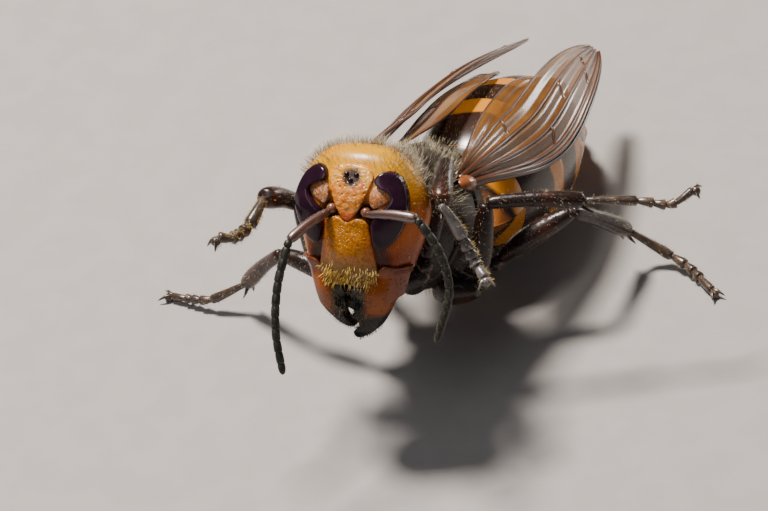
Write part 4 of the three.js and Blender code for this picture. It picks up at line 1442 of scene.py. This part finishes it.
def makeVeins(look, mirror):
    rows, radius = look['rows'], look['veinRadius']
    lines = []
    steps = wings['veinSteps']
    for across in look['veins']:
        spots = [
            wingSpot(rows, mirror, step / steps, across, wings['veinLift'])
            for step in range(steps + 1)
        ]
        route = Route(spots[::4])
        # thickest along the front edge, thinnest along the rear one
        thick = radius * (1.25 if across < 0.1 else 0.8 if across == 1.0 else 1.0)
        stations = ((0, thick * 1.3), (0.3, thick), (1, thick * 0.45))
        lines.append(tube(route, roundedProfile(route.length, stations, 60), 2))
    steps = wings['crossSteps']
    for along, first, second in look['crossVeins']:
        slant = wings['crossSlant']
        spots = [
            wingSpot(rows, mirror, along + slant * step / steps, first + (second - first) * step / steps)
            for step in range(steps + 1)
        ]
        route = Route(spots)
        thick = radius * wings['crossThickness']
        lines.append(tube(route, roundedProfile(route.length, ((0, thick), (1, thick)), 12), 1))
    return joinPieces(lines)


def makeWings():
    filmFinish = shellFinish('wingFilm', wings['film'])
    veinFinish = shellFinish('wingVein', wings['vein'])
    for name, mirror in sides:
        for kind in ('forewing', 'hindwing'):
            wing = f'{kind}_{name}'
            sheet = makeFilm(wings[kind]['rows'], mirror)
            finishPiece(sheet, wing + '_film', groundFrame, filmFinish, [wing])
            finishPiece(makeVeins(wings[kind], mirror), wing + '_veins', groundFrame, veinFinish)


makeWings()
print('wings are in place')


# Legs

legs = {
    'coxa': ((0, 0.9), (0.3, 1.15), (0.7, 0.95), (1, 0.55)),
    'trochanter': ((0, 0.34), (0.3, 0.50), (0.7, 0.50), (1, 0.36)),
    'femur': ((0, 0.36), (0.2, 0.60), (0.45, 0.70), (0.75, 0.62), (0.93, 0.50), (1, 0.40)),
    'tibia': ((0, 0.32), (0.07, 0.43), (0.35, 0.47), (0.8, 0.56), (0.96, 0.50), (1, 0.38)),
    'footJoints': (0, 0.47, 0.61, 0.72, 0.81, 1),
    # a foot joint's outline: part of its length, and how narrow or wide it is there
    'joint': ((0.01, 0.8, 0), (0.06, 1, 0), (0.45, 0.5, 0.5), (0.85, 0, 1), (0.96, 0, 0.96), (0.99, 0, 0.7)),
    'jointNarrow': 0.21,
    'jointWide': 0.345,
    'lastJointWide': 0.28,
    # a spike's outline: part of its length and of its radius
    'spike': ((0, 0.8), (0.15, 1), (0.5, 0.75), (0.85, 0.35), (1, 0.08)),
    'neck': 0.14,  # the trochanter's part of the femur's line
    'neckOverlap': 0.94,  # how far along the trochanter the thigh starts
    'femurBow': 0.25,
    'tibiaBow': 0.2,
    'spur': {
        'radius': 0.14, 'back': 0.35, 'off': 0.25, 'length': 1.05, 'lean': 0.6, 'spread': 0.7, 'bow': 0.08,
    },
    'clawRadius': 0.16,
    'clawBow': 0.16,
    'padRadius': 0.33 * 0.95,
    'padHeight': 0.25,
    'padPlace': 0.35,
    'standingHeight': 1,
    # the parts' shares of the hair
    'hairShares': {'coxa': 0.12, 'femur': 0.26, 'tibia': 0.3, 'tarsus': 0.32},
    'shell': {
        'base': ((0.014, 0.005, 0.003), 0.32, 5.5, 2.0, 0.2),
        'coats': (('noise', (0.45, 4, 0.5, 0.75), (0.07, 0.016, 0.004), 0.7),),
        'gloss': {'Specular_IOR_Level': 0.35, 'Coat_Weight': 0.1, 'Coat_Roughness': 0.15},
    },
    'foot': {
        'base': ((0.040, 0.022, 0.014), 0.3, 6, 1.6, 0.14),
        'coats': (('noise', (0.8, 4, 0.45, 0.7), (0.15, 0.085, 0.045), 0.65),),
        'gloss': {'Specular_IOR_Level': 0.6, 'Coat_Weight': 0.3, 'Coat_Roughness': 0.2},
    },
    # the foot of the foreleg that faces the light is silvery with down; its lighter colours are partly
    # painted highlight
    'paintedLightFoot': {
        'base': ((0.10, 0.085, 0.08), 0.28, 6, 1.8, 0.16),
        'coats': (('noise', (0.8, 4, 0.45, 0.7), (0.24, 0.21, 0.20), 0.7),),
        'gloss': {'Specular_IOR_Level': 0.7, 'Coat_Weight': 0.3, 'Coat_Roughness': 0.15},
    },
    'poses': {
        'fore_left': {
            'hip': (1.7, -4.6, -3.1), 'trochanter': (3.3, -6.0, 11.0),
            'knee': (3.9, -1.8, 16.8), 'ankle': (5.3, -6.2, 16.9),
            'foot': ((6.37, -6.14, 14.7), (7.26, -6.44, 12.73), (8.1, -7.1, 12.25)),
            'claws': ((7.95, -8.0, 11.95), (8.85, -7.4, 11.95)),
            'size': 1.05, 'footSize': 1.28,
        },
        'fore_right': {
            'hip': (-1.7, -4.6, -3.1), 'trochanter': (-3.1, -6.8, 8.2),
            'knee': (-5.86, -4.0, 13.62), 'ankle': (-6.05, -7.9, 16.78),
            'foot': ((-6.27, -10.3, 16.1), (-6.7, -11.6, 16.2), (-7.35, -12.1, 16.5)),
            'claws': ((-7.4, -12.75, 15.8), (-8.1, -12.4, 15.9)),
            'size': 1.05, 'footSize': 1.28,
        },
        'mid_left': {
            'hip': (2.2, -0.2, -4.1), 'trochanter': (5.2, -2.2, 7.2),
            'knee': (5.7, -0.58, 13.03), 'ankle': (11.45, 1.94, 12.38),
            'foot': ((14.67, 3.25, 11.89), (16.56, 3.91, 11.48), (17.67, 4.95, 12.02)),
            'claws': ((17.98, 5.78, 11.8), (18.09, 4.94, 11.39)),
            'size': 1, 'footSize': 1,
        },
        'mid_right': {
            'hip': (-2.2, -0.2, -4.1), 'trochanter': (-4.0, -2.4, 5.9),
            'knee': (-9.4, -1.3, 7.0), 'ankle': (-13.6, 0.5, 2.4),
            'foot': ((-16.3, -0.1, 1.0), (-18.2, 0.1, 0.6), (-19.5, 0.3, 0.42)),
            'claws': ((-20.4, 0.9, 0.3), (-20.4, -0.3, 0.3)),
            'size': 1, 'footSize': 1,
        },
        'hind_left': {
            'hip': (2.2, 3.2, -3.7), 'trochanter': (3.9, 2.4, 5.4),
            'knee': (8.83, 5.64, 8.37), 'ankle': (10.37, 11.12, 3.2),
            'foot': ((12.2, 11.95, 1.3), (14.3, 11.3, 0.72), (16.67, 9.47, 0.42)),
            'claws': ((17.65, 9.2, 0.3), (17.05, 8.45, 0.3)),
            'size': 1.08, 'footSize': 1.08,
        },
        'hind_right': {
            'hip': (-2.2, 3.2, -3.7), 'trochanter': (-3.9, 2.4, 5.4),
            'knee': (-8.0, 6.0, 8.4), 'ankle': (-10.9, 11.8, 3.4),
            'foot': ((-12.1, 15.0, 1.3), (-12.8, 17.1, 0.65), (-13.2, 18.7, 0.42)),
            'claws': ((-13.9, 19.5, 0.3), (-12.9, 19.7, 0.3)),
            'size': 1.08, 'footSize': 1.08,
        },
    },
}


def sized(radii, size):
    return tuple((part, radius * size) for part, radius in radii)


def spike(start, end, radius, bow):
    middle = start.lerp(end, 0.55) + bow
    route = Route((start, middle, end))
    return tube(route, [(route.length * part, radius * size) for part, size in legs['spike']], 3)


def footProfile(length, size):
    profile = [(0, 0.1 * size)]
    joints = legs['footJoints']
    narrow = legs['jointNarrow'] * size
    for start, end in zip(joints, joints[1:]):
        wide = legs['lastJointWide' if end == joints[-1] else 'jointWide'] * size
        for part, narrowPart, widePart in legs['joint']:
            radius = narrow * narrowPart + wide * widePart
            profile.append(((start + (end - start) * part) * length, radius))
    return profile + [(length, 0.05)]


def makeCoxa(pose, hip, trochanter):
    route = Route((hip, trochanter))
    return tube(route, roundedProfile(route.length, sized(legs['coxa'], pose['size'])), 10)


def makeFemur(pose, trochanter, knee):
    # the short trochanter and the thigh that grows out of it
    size = pose['size']
    route = Route((trochanter, trochanter.lerp(knee, 0.55) + up * legs['femurBow'], knee))
    neck = route.length * legs['neck']
    rings = roundedProfile(1, sized(legs['trochanter'], size), 14)
    small = tube(route, [(place * neck, radius) for place, radius in rings], 9)
    start, length = neck * legs['neckOverlap'], route.length - neck
    rings = [
        (start + place * (route.length - start) / length, radius)
        for place, radius in roundedProfile(length, sized(legs['femur'], size), 30)
    ]
    thigh = tube(route, rings, 9)
    return joinPieces([thigh, small])


def makeTibia(pose, knee, ankle, turns):
    # the shin, with a spur at the end for each turn
    size, spur = pose['footSize'], legs['spur']
    route = Route((knee, knee.lerp(ankle, 0.5) + up * legs['tibiaBow'], ankle))
    parts = [tube(route, roundedProfile(route.length, sized(legs['tibia'], size), 30), 9)]
    aim = (ankle - knee).normalized()
    down = (-up + aim * aim.z).normalized()
    for turn in turns:
        out = (down + aim.cross(down) * turn * spur['spread']).normalized()
        root = ankle - aim * spur['back'] + out * spur['off'] * size
        tip = root + aim * spur['length'] * size + out * spur['lean']
        parts.append(spike(root, tip, spur['radius'], out * spur['bow']))
    return joinPieces(parts)


def makeTarsus(pose, ankle):
    # five joints, two claws and the pad between them
    foot = [Vector(point) for point in pose['foot']]
    claws = [Vector(point) for point in pose['claws']]
    route = Route((ankle, *foot))
    parts = [tube(route, footProfile(route.length, pose['footSize']), 8)]
    tip = foot[-1]
    for claw in claws:
        parts.append(spike(tip, claw, legs['clawRadius'], up * legs['clawBow']))
    middle = tip.lerp(claws[0].lerp(claws[1], 0.5), legs['padPlace'])
    standing = tip.z < legs['standingHeight']
    if standing:
        middle.z = legs['padHeight']
    tarsus = joinPieces([*parts, ball(legs['padRadius'], middle)])
    if standing:
        flattenBelly(tarsus)
    return tarsus


def makeLeg(name, pose, legFinish, footFinish):
    hip = thoraxFrame @ Vector(pose['hip'])
    trochanter, knee, ankle = (Vector(pose[key]) for key in ('trochanter', 'knee', 'ankle'))
    turns = (0,) if name.startswith('fore') else (-1, 1)
    grown = []

    def finishPart(part, piece, ending='shell', finish=legFinish):
        finishPiece(piece, f'{part}_{name}_{ending}', groundFrame, finish, [f'{part}_{name}'])
        grown.append((piece, legs['hairShares'][part]))

    finishPart('coxa', makeCoxa(pose, hip, trochanter))
    finishPart('femur', makeFemur(pose, trochanter, knee))
    finishPart('tibia', makeTibia(pose, knee, ankle, turns))
    finishPart('tarsus', makeTarsus(pose, ankle), 'foot', footFinish)
    return grown


def makeLegs():
    legFinish = shellFinish('legShell', legs['shell'])
    footFinish = shellFinish('footShell', legs['foot'])
    # the fore left foot gets the lighter copy, partly painted highlight
    feet = {'fore_left': shellFinish('paintedLightFootShell', legs['paintedLightFoot'])}
    grown = {}
    for name, pose in legs['poses'].items():
        grown[name] = makeLeg(name, pose, legFinish, feet.get(name, footFinish))
    return grown


legSkins = makeLegs()
print('legs are in place')


# Coat

def hairLook(count, length, width, stand, loose, curl, flow):
    return {
        'count': count,
        'length': length,
        'width': width,
        'stand': stand,
        'loose': loose,
        'curl': curl,
        'flow': flow,
    }


hair = {
    # count, length, width, how upright, how loose, curl, the way it flows
    'crown': hairLook(9000, 0.95, 0.02, 0.85, 0.2, 0.12, (0, 0.3, 1)),
    'face': hairLook(2600, 0.22, 0.014, 0.55, 0.2, 0.2, (0, 0, -1)),
    'fringe': hairLook(2200, 0.52, 0.05, 0.6, 0.16, 0.1, (0, 0, -1)),
    'bristle': hairLook(3000, 0.26, 0.034, 0.6, 0.2, 0.2, (0, 0, -1)),
    'thorax': hairLook(11000, 0.8, 0.022, 0.75, 0.17, 0.15, (0, 1, 0)),
    'gaster': hairLook(7000, 0.32, 0.016, 0.3, 0.12, 0.2, (0, 1, -0.1)),
    'leg': hairLook(600, 0.34, 0.02, 0.5, 0.18, 0.2, (0.2, 0.6, -0.6)),
    'brush': hairLook(600, 0.26, 0.026, 0.6, 0.18, 0.2, (0.3, -0.3, -1)),
    'antenna': hairLook(2600, 0.05, 0.012, 0.7, 0.15, 0.2, (0, -0.3, -1)),
}


def fade(value, low, high):
    part = np.clip((value - low) / (high - low), 0, 1)
    return part * part * (3 - 2 * part)


def makeHair():
    pale = hairPaint('paleHair', (0.34, 0.27, 0.18), (0.55, 0.46, 0.32))
    golden = hairPaint('goldenHair', (0.62, 0.38, 0.05), (0.85, 0.62, 0.20))
    dusk = hairPaint('duskHair', (0.16, 0.12, 0.06), (0.62, 0.53, 0.35))
    # the black bristles are mixed with golden brown: partly their own tips, partly painted glints
    black = hairPaint('blackBristle', (0.03, 0.018, 0.010), (0.30, 0.19, 0.07), 0.3)
    growHair('crown_hair', [(headPiece, 1)], hair['crown'], headFrame, pale,
             lambda own, out: fade(own[:, 2], 1.8, 3.6) * (own[:, 1] > -1.5))
    growHair('face_hair', [(headPiece, 1)], hair['face'], headFrame, golden,
             lambda own, out: (own[:, 1] < 0.6) * 0.8)
    growHair('clypeus_fringe', [(clypeusPiece, 1)], hair['fringe'], headFrame, golden,
             lambda own, out: fade(own[:, 2], -2.0, -3.3) * (out[:, 1] < -0.1))
    blades = [(piece, 0.5) for piece in mandiblePieces]
    growHair('blade_bristle', blades, hair['bristle'], headFrame, black,
             lambda own, out: fade(np.abs(own[:, 0]), 1.9, 0.9) * (out[:, 1] < 0.1))
    growHair('thorax_hair', thoraxSkins, hair['thorax'], thoraxFrame, dusk,
             lambda own, out: 0.08 + 0.92 * fade(out[:, 2], 0.0, 0.7))
    growHair('gaster_hair', gasterSkins, hair['gaster'], groundFrame, golden,
             lambda own, out: (out[:, 2] > -0.75) * 1.0)
    for name, skins in legSkins.items():
        growHair(f'leg_{name}_hair', skins, hair['leg'], groundFrame, dusk)
        if name.startswith('fore'):
            foot = [(skins[-1][0], 1)]
            growHair(f'leg_{name}_brush', foot, hair['brush'], groundFrame, golden,
                     lambda own, out: (out[:, 1] > -0.1) * 1.0)
    growHair('antenna_hair', antennaSkins, hair['antenna'], groundFrame, dusk)


makeHair()
print('hair is in place')
